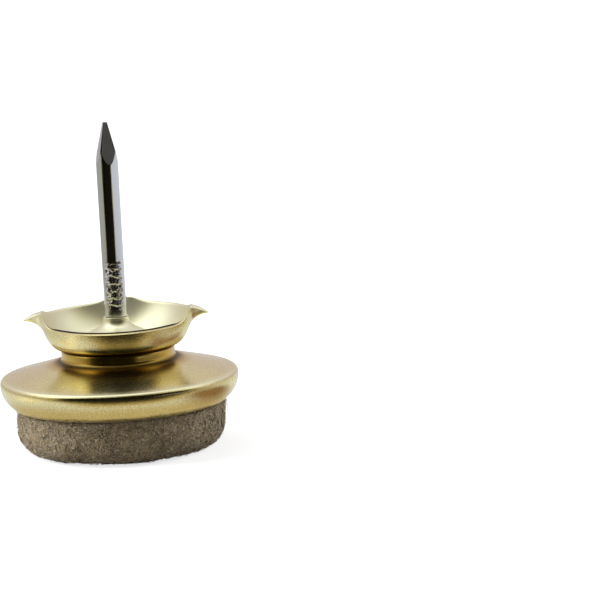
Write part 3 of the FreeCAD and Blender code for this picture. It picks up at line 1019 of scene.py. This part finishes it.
@dataclass
class Nail:
    """Bright wire nail with a diamond point and grip marks, in millimetres and degrees."""

    radius: float = 1.1
    head_radius: float = 3.4
    head_height: float = 1.0
    point_length: float = 4.2
    point_zone: float = 5.25
    point_flat: float = 0.2
    point_turn: float = 15.0
    point_facets: int = 4
    point_sharpness: float = 14.0
    flat_facing: float = 0.77
    flat_margin: float = 0.01
    groove_radius: float = 0.88
    groove_foot: float = 12.8
    groove_top: float = 13.35
    grip_foot: float = 14.0
    grip_length: float = 5.0
    grip_pitch: float = 0.72
    grip_depth: float = 0.075
    grip_edge: float = 0.62
    grip_fade: float = 0.25
    grip_dullness: float = 0.4
    wander: float = 0.4
    wander_scale: float = 1.7
    chips: tuple[tuple[float, float], ...] = ((4.3, 0.6), (9.0, 0.3))
    axis_radius: float = 1e-5
    steps_round: int = 144
    first_ring: float = 0.05
    grip_ring: float = 0.045
    shank_rings: int = 12
    point_rings: int = 80
    sharp_degrees: float = 24.0

    def facings(self, turn: float) -> list[float]:
        """Tells how squarely each facet of the point faces an angle, nought if it faces away."""
        middles = [math.radians(self.point_turn + 360.0 * index / self.point_facets)
                   for index in range(self.point_facets)]
        return [max(0.0, math.cos(turn - middle)) for middle in middles]

    def grip_share(self, turn: float, level: float) -> float:
        """Tells how far a place is inside the struck grip, front and back.

        Args:
            turn: Angle round the axis.
            level: Level up the axis.

        Returns:
            One in the middle of the grip, nought outside it.
        """
        inside = min(level - self.grip_foot, self.grip_foot + self.grip_length - level) / self.grip_pitch
        facing = (abs(math.sin(turn)) - self.grip_edge) / self.grip_fade
        return held(inside) * held(facing)

    def reach(self, turn: float, level: float, tip: float) -> float:
        """Tells how far the shank reaches from the axis.

        Args:
            turn: Angle round the axis.
            level: Level up the axis.
            tip: Level of the tip.

        Returns:
            The radius there.
        """
        facet = self.point_flat + (tip - level) * (self.radius - self.point_flat) / self.point_length
        rounded = sum(facing ** self.point_sharpness for facing in self.facings(turn))
        reach = min(self.radius, facet / rounded ** (1.0 / self.point_sharpness))
        share = self.grip_share(turn, level)
        if share > 0.0:
            place = Vector((math.cos(turn), math.sin(turn), level))
            wandered = self.wander * noise.noise(self.wander_scale * place)
            strokes = (level - self.grip_foot) / self.grip_pitch + wandered
            ridge = 0.5 - 0.5 * math.cos(2.0 * math.pi * strokes)
            chipped = sum(weight * noise.noise(scale * place) for scale, weight in self.chips)
            reach -= share * self.grip_depth * max(0.0, ridge + chipped)
        return reach

    def build(self, head_foot: float, tip: float) -> bpy.types.Object:
        """Makes the nail.

        Args:
            head_foot: Level under the head.
            tip: Level of the tip.

        Returns:
            The object.
        """
        head_top = head_foot + self.head_height
        grip_end = self.grip_foot + self.grip_length
        point_foot = tip - self.point_zone
        lower = [(self.axis_radius, head_foot), (self.head_radius, head_foot), (self.head_radius, head_top),
                 (self.radius, head_top), (self.radius, self.groove_foot),
                 (self.groove_radius, self.groove_foot), (self.groove_radius, self.groove_top),
                 (self.radius, self.groove_top)]
        levels = np.concatenate([
            np.arange(self.groove_top + self.first_ring, grip_end, self.grip_ring),
            np.linspace(grip_end, point_foot, self.shank_rings, endpoint=False),
            np.linspace(point_foot, tip, self.point_rings)])
        turns = np.linspace(0.0, 2.0 * math.pi, self.steps_round, endpoint=False)
        reaches = np.array([[self.reach(turn, level, tip) for turn in turns] for level in levels])
        shank = np.stack([reaches * np.cos(turns), reaches * np.sin(turns),
                          np.repeat(levels[:, None], self.steps_round, axis=1)], axis=2)
        cap = spin([(self.axis_radius, tip)], self.steps_round)
        grid = np.concatenate([spin(lower, self.steps_round), shank, cap])
        flat = np.array([max(self.facings(turn)) > self.flat_facing for turn in turns])
        ground_off = np.hypot(grid[..., 0], grid[..., 1]) < self.radius - self.flat_margin
        sheared = ground_off & (grid[..., 2] > point_foot) & flat
        struck = np.array([[self.grip_share(turn, ring[0][2]) for turn in turns] for ring in grid])
        dull = np.maximum(sheared, self.grip_dullness * struck)
        return surface_from_grid("nail_drawn", grid, False, self.sharp_degrees, {CUT_AND_SHADOW_MASK: dull})


@dataclass(frozen=True)
class Fibres:
    """One sort of loose fibre, in millimetres and radians."""

    name: str
    count: int
    points: int
    radius: float
    bend: Span
    tilt: float
    curl: float
    seed: int


@dataclass
class FeltPad:
    """Wool felt disc with a worn lower edge and loose fibres, in millimetres and degrees."""

    lower_round: float = 2.2
    fluff_rise: float = 0.42
    fluff_width: float = 0.16
    lump: float = 0.16
    lump_size: float = 2.6
    grain: float = 0.05
    grain_size: float = 0.5
    wear: float = 0.192
    wear_size: float = 4.68
    wear_bias: float = 0.1
    under_rings: tuple[float, ...] = (0.3, 0.6)
    over_rings: tuple[float, ...] = (0.5,)
    axis_radius: float = 1e-4
    steps_round: int = 300
    sharp_degrees: float = 80.0
    fibre_bow: float = 150.0
    swirl_scale: float = 1.1
    fibre_lift: float = 0.03
    long_fibres: Fibres = Fibres(name="felt_fibres_long", count=900, points=7, radius=0.022,
                                 bend=(0.3, 0.9), tilt=0.16, curl=0.3, seed=7)
    short_fibres: Fibres = Fibres(name="felt_fibres_short", count=9000, points=4, radius=0.024,
                                  bend=(0.10, 0.32), tilt=0.35, curl=0.2, seed=19)

    def outline(self, radius: float, height: float) -> list[Point]:
        """Works out the section of the pad, with fluff that stands up round its top.

        Args:
            radius: Radius of the disc.
            height: Height of the disc.

        Returns:
            Radius and level of each point.
        """
        inside = radius - self.fluff_width
        tuft = self.fluff_width / 2
        points = [(self.axis_radius, 0.0)]
        points += [(share * radius, 0.0) for share in self.under_rings]
        points += arc((radius - self.lower_round, self.lower_round), self.lower_round, -90.0, 0.0, steps=18)
        points += [(radius, level) for level in np.linspace(self.lower_round, height, 16)[1:]]
        points += arc((radius - tuft, height + self.fluff_rise - tuft), tuft, 0.0, 180.0, steps=6)
        points += [(inside, height)]
        points += [(share * radius, height) for share in self.over_rings]
        return points + [(self.axis_radius, height)]

    def build(self, radius: float, height: float) -> bpy.types.Object:
        """Makes the pad with its lumps.

        Args:
            radius: Radius of the disc.
            height: Height of the disc.

        Returns:
            The object.
        """
        grid = spin(self.outline(radius, height), self.steps_round)
        under = 1 + len(self.under_rings)
        over = 1 + len(self.over_rings)
        for ring in grid[under:-over]:
            for point in ring:
                place = Vector(point)
                outward = Vector((point[0], point[1], 0.0)).normalized()
                lumps = noise.noise(place / self.lump_size) * self.lump
                grains = noise.noise(place / self.grain_size) * self.grain
                shift = outward * (lumps + grains)
                low = 1.0 - min(1.0, point[2] / self.lower_round)
                wear_and_highlight = max(0.0, noise.noise(place / self.wear_size) + self.wear_bias)
                point[0] += shift.x
                point[1] += shift.y
                point[2] += low * wear_and_highlight * self.wear
        return surface_from_grid("felt_pad_wool", grid, False, self.sharp_degrees)

    def draw_number(self, graph: Graph, seed: object, low: object, high: object) -> bpy.types.NodeSocket:
        """Draws a random number from low to high for each fibre."""
        node = graph.add("FunctionNodeRandomValue", {"Seed": seed, 2: low, 3: high}, data_type="FLOAT")
        return node.outputs[1]

    def lay_bows(self, graph: Graph, source: bpy.types.bpy_prop_collection) -> bpy.types.NodeSocket:
        """Lays bowed lines on the pad, leaning a little and turned at random.

        Args:
            graph: Graph of the fibres.
            source: Inputs of the tree.

        Returns:
            The lines, with their tones.
        """
        seed = source["Seed"]
        points = graph.add("GeometryNodeDistributePointsOnFaces", {
            "Mesh": source["Geometry"], "Density": source["Density"], "Seed": seed}).outputs
        bow = graph.add("GeometryNodeCurveArc", {
            "Resolution": source["Points"], "Radius": 1.0, "Sweep Angle": math.radians(self.fibre_bow)})
        lying = graph.add("FunctionNodeAlignRotationToVector", {"Vector": points["Normal"]}, axis="Z")
        spun = graph.add("FunctionNodeRandomValue", {"Seed": seed}, data_type="FLOAT_VECTOR")
        spun.inputs["Min"].default_value = (-1.0, -1.0, 0.0)
        most = graph.add("ShaderNodeCombineXYZ", {
            "X": source["Tilt"], "Y": source["Tilt"], "Z": 2.0 * math.pi}).outputs[0]
        turned = graph.add("FunctionNodeRotateRotation", {
            "Rotation": lying.outputs[0], "Rotate By": graph.vector("MULTIPLY", spun.outputs[0], most)},
            rotation_space="LOCAL")
        length = self.draw_number(graph, graph.math("ADD", seed, 1.0), source["Shortest"], source["Longest"])
        laid = graph.add("GeometryNodeInstanceOnPoints", {
            "Points": points["Points"], "Instance": bow.outputs["Curve"],
            "Rotation": turned.outputs[0], "Scale": length})
        tone = self.draw_number(graph, graph.math("ADD", seed, 2.0), *FIBRE_TONES)
        toned = graph.add("GeometryNodeStoreNamedAttribute", {
            "Geometry": laid.outputs["Instances"], "Name": FIBRE_TONE}, domain="INSTANCE", data_type="FLOAT")
        graph.feed(toned.inputs["Value"], tone)
        return graph.add("GeometryNodeRealizeInstances", {"Geometry": toned.outputs["Geometry"]}).outputs[0]

    def fibre_tree(self, material: bpy.types.Material) -> bpy.types.NodeTree:
        """Builds the tree that lays loose, curling fibres on the pad.

        Args:
            material: Felt finish.

        Returns:
            The node tree.
        """
        inputs = {"Geometry": "Geometry"}
        inputs |= dict.fromkeys(("Density", "Radius", "Shortest", "Longest", "Curl", "Tilt"), "Float")
        inputs |= dict.fromkeys(("Points", "Seed"), "Int")
        graph, start, result = new_group("GeometryNodeTree", "loose_fibres", inputs, {"Geometry": "Geometry"})
        source = start.outputs
        lines = self.lay_bows(graph, source)
        place = graph.add("GeometryNodeInputPosition").outputs["Position"]
        swirl = graph.add("ShaderNodeTexNoise", {
            "Vector": place, "Scale": self.swirl_scale / MM, "Detail": 1.0}).outputs["Color"]
        wave = graph.vector("SCALE", graph.vector("SUBTRACT", swirl, (0.5, 0.5, 0.5)), source["Curl"])
        curled = graph.add("GeometryNodeSetPosition", {"Geometry": lines, "Offset": wave}).outputs[0]
        moved = graph.add("GeometryNodeInputPosition").outputs["Position"]
        lifted = graph.vector("MAXIMUM", moved, (-1.0, -1.0, self.fibre_lift * MM))
        floored = graph.add("GeometryNodeSetPosition", {"Geometry": curled, "Position": lifted}).outputs[0]
        thread = graph.add("GeometryNodeCurvePrimitiveCircle", {
            "Resolution": 3, "Radius": source["Radius"]}).outputs["Curve"]
        tubes = graph.add("GeometryNodeCurveToMesh", {"Curve": floored, "Profile Curve": thread}).outputs[0]
        smooth = graph.add("GeometryNodeSetShadeSmooth", {"Geometry": tubes}).outputs[0]
        plain = graph.add("GeometryNodeRealizeInstances", {"Geometry": smooth}).outputs[0]
        dressed = graph.add("GeometryNodeSetMaterial", {"Geometry": plain, "Material": material}).outputs[0]
        graph.feed(result.inputs["Geometry"], dressed)
        return graph.tree

    def lay_fibres(self, pad: bpy.types.Object, tree: bpy.types.NodeTree, sort: Fibres) -> bpy.types.Object:
        """Lays one sort of loose fibre as a mesh of its own.

        Args:
            pad: The felt pad.
            tree: Node tree that lays fibres.
            sort: Sort of fibre.

        Returns:
            The object with the fibres.
        """
        carrier = add_object("felt_fibre_ground", pad.data)
        area = sum(face.area for face in pad.data.polygons)
        values = {"Density": sort.count / area, "Radius": sort.radius * MM, "Shortest": sort.bend[0] * MM,
                  "Longest": sort.bend[1] * MM, "Curl": sort.curl * MM, "Tilt": sort.tilt,
                  "Points": sort.points, "Seed": sort.seed}
        modifier = carrier.modifiers.new("loose_fibres", "NODES")
        modifier.node_group = tree
        for socket in tree.interface.items_tree:
            if socket.in_out == "INPUT" and socket.name in values:
                modifier[socket.identifier] = values[socket.name]
        depsgraph = bpy.context.evaluated_depsgraph_get()
        mesh = bpy.data.meshes.new_from_object(carrier.evaluated_get(depsgraph), depsgraph=depsgraph)
        bpy.data.objects.remove(carrier)
        return add_object(sort.name, mesh)


@dataclass(frozen=True)
class FloorRing:
    """Mirrored floor at one distance: where its dark front fades at each side, and its brightness."""

    away: float
    left: Span
    right: Span
    glow: float


@dataclass(frozen=True)
class FloorPatch:
    """Soft round patch of another colour on the mirrored floor."""

    place: tuple[float, float, float]
    edge: Span
    colour: Colour


@dataclass(frozen=True)
class Lamp:
    """Square soft lamp that points at the glide, in millimetres and watts."""

    name: str
    place: tuple[float, float, float]
    width: float
    power: float


@dataclass
class Studio:
    """Camera, floor, lamps and mirrored surroundings, in millimetres and degrees."""

    image_width: float = 600.0
    focal_pixels: float = 2480.0
    sensor_width: float = 36.0
    camera_pitch: float = 9.2
    camera_roll: float = -2.7
    camera_offset: Point = (17.862, 14.75)
    camera_distance: float = 251.284
    camera_clip: Span = (10.0, 20000.0)
    lamps: tuple[Lamp, ...] = (
        Lamp("overhead", (-20.0, 85.0, 260.0), 190.0, 0.20),
        Lamp("left", (-240.0, -30.0, 150.0), 150.0, 1.0),
        Lamp("right", (240.0, 20.0, 160.0), 150.0, 0.5),
    )
    lamp_aim: float = 10.0
    floor_size: float = 4000.0
    floor_level: float = -0.02
    floor_paper: Colour = (0.42, 0.42, 0.42)
    floor_bounce: Colour = (0.42, 0.41, 0.39)
    floor_glow: Span = (15.0, 90.0)
    floor_shine: float = 0.72
    room_light: float = 0.2
    opening_height: float = 0.05
    opening_size: Span = (0.99, 0.91)
    opening_depth: float = 0.15
    opening_shift: float = 0.06
    opening_edge: Span = (0.85, 1.04)
    dim_edge: Span = (0.15, 0.5)
    dim_share: float = 0.75
    bright_way: tuple[float, float, float] = (-0.35, -0.35, 0.87)
    bright_edge: Span = (0.55, 0.93)
    haze: Span = (0.3, 0.6)
    amber_span: Span = (0.0, 0.5)
    dark_span: Span = (0.35, 1.0)
    dark_start: Span = (14.0, 34.0)
    rings: tuple[FloorRing, ...] = (
        FloorRing(18.0, (2.0, 55.0), (22.0, 75.0), 1.0),
        FloorRing(28.0, (2.0, 55.0), (22.0, 75.0), 1.12),
        FloorRing(42.0, (30.0, 85.0), (38.0, 95.0), 1.0),
        FloorRing(54.0, (30.0, 85.0), (60.0, 130.0), 0.9),
        FloorRing(66.0, (35.0, 105.0), (60.0, 140.0), 1.0),
        FloorRing(98.0, (55.0, 115.0), (70.0, 140.0), 1.0),
        FloorRing(118.0, (50.0, 62.0), (34.0, 48.0), 1.0),
    )
    contact_shadow: Span = (12.0, 24.0)
    contact_shadow_share: float = 0.34
    patches: tuple[FloorPatch, ...] = (
        FloorPatch((25.5, -3.0, 0.0), (6.0, 17.0), (0.30, 0.18, 0.10)),
        FloorPatch((-34.0, -5.0, 0.0), (3.0, 14.0), (1.15, 1.10, 0.98)),
    )
    grey_start: Span = (75.0, 95.0)
    mirrored_room: Colour = (0.65, 0.58, 0.60)
    mirrored_sky: Colour = (1.1, 1.12, 1.14)
    mirrored_bright: Colour = (1.65, 1.68, 1.70)
    mirrored_grey: Colour = (0.60, 0.60, 0.50)
    mirrored_white: Colour = (0.77, 0.78, 0.84)
    mirrored_amber: Colour = (0.56, 0.43, 0.20)
    mirrored_dark: Colour = (0.009, 0.008, 0.005)

    def aim_camera(self) -> None:
        """Places the camera at the fitted viewpoint."""
        pitch = math.radians(self.camera_pitch)
        roll = math.radians(self.camera_roll)
        right = Vector((1.0, 0.0, 0.0))
        forward = Vector((0.0, math.cos(pitch), -math.sin(pitch)))
        up = Vector((0.0, math.sin(pitch), math.cos(pitch)))
        tilted_right = math.cos(roll) * right + math.sin(roll) * up
        tilted_up = math.cos(roll) * up - math.sin(roll) * right
        place = (self.camera_offset[0] * tilted_right + self.camera_offset[1] * tilted_up
                 - self.camera_distance * forward)
        turn = Matrix((tilted_right, tilted_up, -forward)).transposed()
        data = bpy.data.cameras.new("camera")
        data.sensor_width = self.sensor_width
        data.lens = self.sensor_width * self.focal_pixels / self.image_width
        data.clip_start = self.camera_clip[0] * MM
        data.clip_end = self.camera_clip[1] * MM
        camera = add_object("camera", data)
        camera.matrix_world = Matrix.Translation(place * MM) @ turn.to_4x4()
        bpy.context.scene.camera = camera

    def surroundings(self, graph: Graph, share: object, base: object) -> bpy.types.NodeSocket:
        """Colours what the metal mirrors by its share of dark, from plain over amber to nearly black."""
        warm = graph.blend(graph.rescale(share, *self.amber_span), base, self.mirrored_amber)
        return graph.blend(graph.rescale(share, *self.dark_span), warm, self.mirrored_dark)

    def along_floor(self, graph: Graph, away: object, values: Sequence[float]) -> bpy.types.NodeSocket:
        """Runs a value smoothly from ring to ring of the floor.

        Args:
            graph: Graph of the floor's material.
            away: Distance from the axis.
            values: Value at each ring.

        Returns:
            The value at that distance.
        """
        total: object = values[0]
        for index in range(1, len(values)):
            change = graph.rescale(away, self.rings[index - 1].away, self.rings[index].away,
                                   0.0, values[index] - values[index - 1])
            total = graph.math("ADD", total, change)
        return total

    def mirrored_floor(self, graph: Graph) -> bpy.types.NodeSocket:
        """Colours the floor that the metal mirrors: dark ahead, warm on the right, grey far left, with a
        painted contact shadow round the glide.

        Args:
            graph: Graph of the floor's material.

        Returns:
            The mirrored colour.
        """
        place = graph.vector("SCALE", graph.add("ShaderNodeTexCoord").outputs["Object"], 1.0 / MM)
        axes = graph.split(place)
        ahead = graph.math("MULTIPLY", axes["Y"], -1.0)
        aside = graph.math("MULTIPLY", axes["X"], -1.0)
        away = graph.vector("LENGTH", place)
        dark = graph.rescale(away, *self.dark_start)
        for across, ends in ((aside, [ring.left for ring in self.rings]),
                             (axes["X"], [ring.right for ring in self.rings])):
            turn = graph.math("DEGREES", graph.math("ARCTAN2", across, ahead))
            start, finish = [self.along_floor(graph, away, angles) for angles in zip(*ends)]
            dark = graph.math("MULTIPLY", dark, graph.rescale(turn, start, finish, 1.0, 0.0))
        # Painted contact shadow: the mirrored floor darkens towards the glide.
        under = graph.rescale(away, *self.contact_shadow, self.contact_shadow_share, 0.0)
        glow = self.along_floor(graph, away, [ring.glow for ring in self.rings])
        white = graph.vector("SCALE", self.mirrored_white, glow)
        colour = self.surroundings(graph, graph.math("MAXIMUM", dark, under), white)
        for patch in self.patches:
            off_patch = graph.vector("LENGTH", graph.vector("SUBTRACT", place, patch.place))
            colour = graph.blend(graph.rescale(off_patch, *patch.edge, 1.0, 0.0), colour, patch.colour)
        grey = graph.rescale(aside, *self.grey_start)
        return graph.blend(grey, colour, self.mirrored_grey, "MULTIPLY")

    def lay_floor(self) -> None:
        """Lays a plain white floor that keeps a soft shadow, and that the metal mirrors darker in front."""
        half = self.floor_size / 2 * MM
        corners = [(across * half, along * half, self.floor_level * MM)
                   for across, along in ((-1, -1), (1, -1), (1, 1), (-1, 1))]
        mesh = bpy.data.meshes.new("floor")
        mesh.from_pydata(corners, [], [tuple(range(len(corners)))])
        floor = add_object("floor", mesh)
        material = bpy.data.materials.new("white_floor")
        graph = fresh_graph(material)
        mirrored = graph.add("ShaderNodeEmission", {"Color": self.mirrored_floor(graph)}).outputs[0]
        bounce = graph.add("ShaderNodeBsdfDiffuse", {"Color": (*self.floor_bounce, 1.0)}).outputs[0]
        paper = graph.add("ShaderNodeBsdfDiffuse", {"Color": (*self.floor_paper, 1.0)}).outputs[0]
        away = graph.vector("LENGTH", graph.add("ShaderNodeTexCoord").outputs["Object"])
        shine = graph.rescale(away, self.floor_glow[0] * MM, self.floor_glow[1] * MM, self.floor_shine, 1.0)
        glow = graph.add("ShaderNodeEmission", {"Color": (1.0, 1.0, 1.0, 1.0), "Strength": shine}).outputs[0]
        white = graph.add("ShaderNodeAddShader", {0: paper, 1: glow}).outputs[0]
        seen = graph.add("ShaderNodeLightPath").outputs
        direct = graph.add("ShaderNodeMixShader", {0: seen["Is Camera Ray"], 1: bounce, 2: white}).outputs[0]
        both = graph.add("ShaderNodeMixShader", {0: seen["Is Glossy Ray"], 1: direct, 2: mirrored}).outputs[0]
        graph.add("ShaderNodeOutputMaterial", {"Surface": both})
        mesh.materials.append(material)

    def mirrored_walls(self, graph: Graph) -> bpy.types.NodeSocket:
        """Colours the mirrored room: pale, dim behind, bright up on the left, with a dark opening in front.

        Args:
            graph: Graph of the room.

        Returns:
            The mirrored colour.
        """
        direction = graph.add("ShaderNodeTexCoord").outputs["Generated"]
        axes = graph.split(direction)
        sky = graph.blend(graph.rescale(axes["Z"], *self.haze), self.mirrored_room, self.mirrored_sky)
        behind = graph.rescale(axes["Y"], *self.dim_edge, 0.0, self.dim_share)
        sky = graph.blend(behind, sky, self.mirrored_room)
        facing = graph.vector("DOT_PRODUCT", direction, self.bright_way)
        sky = graph.blend(graph.rescale(facing, *self.bright_edge), sky, self.mirrored_bright)
        middle = ((axes["X"], self.opening_shift), (axes["Z"], self.opening_height))
        sideways, upward = [graph.math("DIVIDE", graph.math("SUBTRACT", axis, centre), size)
                            for (axis, centre), size in zip(middle, self.opening_size)]
        off_centre = graph.math("SQRT", graph.weigh((sideways, sideways), (upward, upward)))
        inside = graph.rescale(off_centre, *self.opening_edge, 1.0, 0.0)
        ahead = graph.rescale(axes["Y"], -self.opening_depth, 0.0, 1.0, 0.0)
        return self.surroundings(graph, graph.math("MULTIPLY", inside, ahead), sky)

    def light_room(self) -> None:
        """Sets the white room, which lights the glide softly and which the metal mirrors."""
        world = bpy.data.worlds.new("white_room")
        graph = fresh_graph(world)
        seen = graph.add("ShaderNodeLightPath").outputs
        shown = graph.math("MAXIMUM", seen["Is Camera Ray"], seen["Is Glossy Ray"])
        level = graph.rescale(shown, 0.0, 1.0, self.room_light, 1.0, "LINEAR")
        tint = graph.blend(seen["Is Glossy Ray"], (1.0, 1.0, 1.0), self.mirrored_walls(graph))
        room = graph.add("ShaderNodeBackground", {"Color": tint, "Strength": level})
        graph.add("ShaderNodeOutputWorld", {"Surface": room.outputs[0]})
        bpy.context.scene.world = world

    def hang_lamps(self) -> None:
        """Hangs the lamps, which the metal doesn't mirror."""
        for lamp in self.lamps:
            data = bpy.data.lights.new(lamp.name, "AREA")
            data.size = lamp.width * MM
            data.energy = lamp.power
            hung = add_object(lamp.name, data)
            place = Vector(lamp.place) * MM
            aim = Vector((0.0, 0.0, self.lamp_aim * MM))
            hung.location = place
            hung.visible_glossy = False
            hung.rotation_euler = (aim - place).to_track_quat("-Z", "Y").to_euler()

    def build(self) -> None:
        """Sets up the whole studio."""
        bpy.context.scene.view_settings.view_transform = "Standard"
        self.aim_camera()
        self.lay_floor()
        self.light_room()
        self.hang_lamps()


# On brass, the nearly black cut colour is also a painted shadow on the cup's front rim. The pale colour is
# also a painted highlight along the shell's rim crease. The amber recess colour and the nearly black crease
# colour are painted shade under the cup.
BRASS = MetalFinish(
    slot=Slot.BRASS, colour=(0.885, 0.80, 0.43), shade=(0.69, 0.605, 0.28), stain=(0.62, 0.36, 0.10),
    stain_share=0.35, cut_and_shadow=(0.03, 0.02, 0.01), cut_roughness=0.2, roughness=0.17, roughness_range=0.06,
    streaks=3.0, streak_depth=0.0, speckle_size=0.15, speckle_depth=0.005, speckle_share=0.9,
    pit_spacing=2.4, pit_size=0.075, pale=(0.90, 0.89, 0.63), pale_roughness=0.2,
    recess_shade=(0.62, 0.43, 0.10), crease=(0.14, 0.09, 0.02))
STEEL = MetalFinish(
    slot=Slot.STEEL, colour=(0.71, 0.72, 0.72), shade=(0.63, 0.64, 0.64), stain=(0.55, 0.50, 0.42),
    stain_share=0.15, cut_and_shadow=(0.66, 0.67, 0.71), cut_roughness=0.36, roughness=0.09, roughness_range=0.1,
    streaks=16.0, streak_depth=0.004, speckle_size=0.22, speckle_depth=0.002, speckle_share=0.2,
    pit_spacing=3.0, pit_size=0.05)
PLASTIC = PlasticFinish(
    slot=Slot.PLASTIC, colour=(0.38, 0.36, 0.36), shade=(0.30, 0.29, 0.29), roughness=0.42)
FELT = FeltFinish(
    slot=Slot.FELT, ground=(0.27, 0.20, 0.105),
    dark=Threads(colour=(0.085, 0.062, 0.034), shift=11.0, scale=2.6, width=0.09, strength=0.6),
    tan=Threads(colour=(0.62, 0.43, 0.21), shift=23.0, scale=3.1, width=0.06, strength=0.6),
    light=Threads(colour=(0.92, 0.80, 0.58), shift=37.0, scale=3.6, width=0.05, strength=0.7))


def box_mm(node: Piece) -> tuple[Vector, Vector]:
    """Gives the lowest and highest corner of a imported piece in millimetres."""
    low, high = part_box(node.value)
    return low / MM, high / MM


def place_piece(shape: bpy.types.Object, material: bpy.types.Material,
                stands_for: Piece | None) -> None:
    """Dresses a made piece and hands it to the frame.

    Args:
        shape: The piece.
        material: Its finish.
        stands_for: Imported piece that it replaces, if any.
    """
    if not shape.data.materials:
        shape.data.materials.append(material)
    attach(shape, "root")
    if stands_for is not None:
        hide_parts(stands_for.value)
    LOG.info("%s: %d faces", shape.name, len(shape.data.polygons))


def main() -> None:
    """Builds the glide and its studio."""
    logging.basicConfig(level=logging.INFO, format="%(name)s: %(message)s")
    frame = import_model()
    effects = SharedEffects(grain=DrawnGrain().build(), marks=HandlingMarks().build())
    brass = BRASS.build(effects)
    steel = STEEL.build(effects)
    felt = FELT.build()

    shell_box = box_mm(Piece.BASE_SHELL)
    nail_box = box_mm(Piece.NAIL)
    cup_box = box_mm(Piece.CLAW_CUP)
    felt_box = box_mm(Piece.FELT_PAD)
    place_piece(BaseShell().build(shell_box[1].x, shell_box[1].z), brass, Piece.BASE_SHELL)
    place_piece(ClawCup().build(cup_box[0].z), brass, Piece.CLAW_CUP)
    place_piece(Nail().build(nail_box[0].z, nail_box[1].z), steel, Piece.NAIL)

    carrier = frame["nodes"][Piece.PAD_CARRIER.value]
    carrier.data.materials.clear()
    carrier.data.materials.append(PLASTIC.build())
    LOG.info("%s: %d faces", carrier.name, len(carrier.data.polygons))

    wool = FeltPad()
    pad = wool.build(felt_box[1].x, felt_box[1].z)
    tree = wool.fibre_tree(felt)
    tufts = [wool.lay_fibres(pad, tree, sort) for sort in (wool.long_fibres, wool.short_fibres)]
    place_piece(pad, felt, Piece.FELT_PAD)
    for tuft in tufts:
        place_piece(tuft, felt, None)

    Studio().build()


if __name__ == "__main__":
    main()
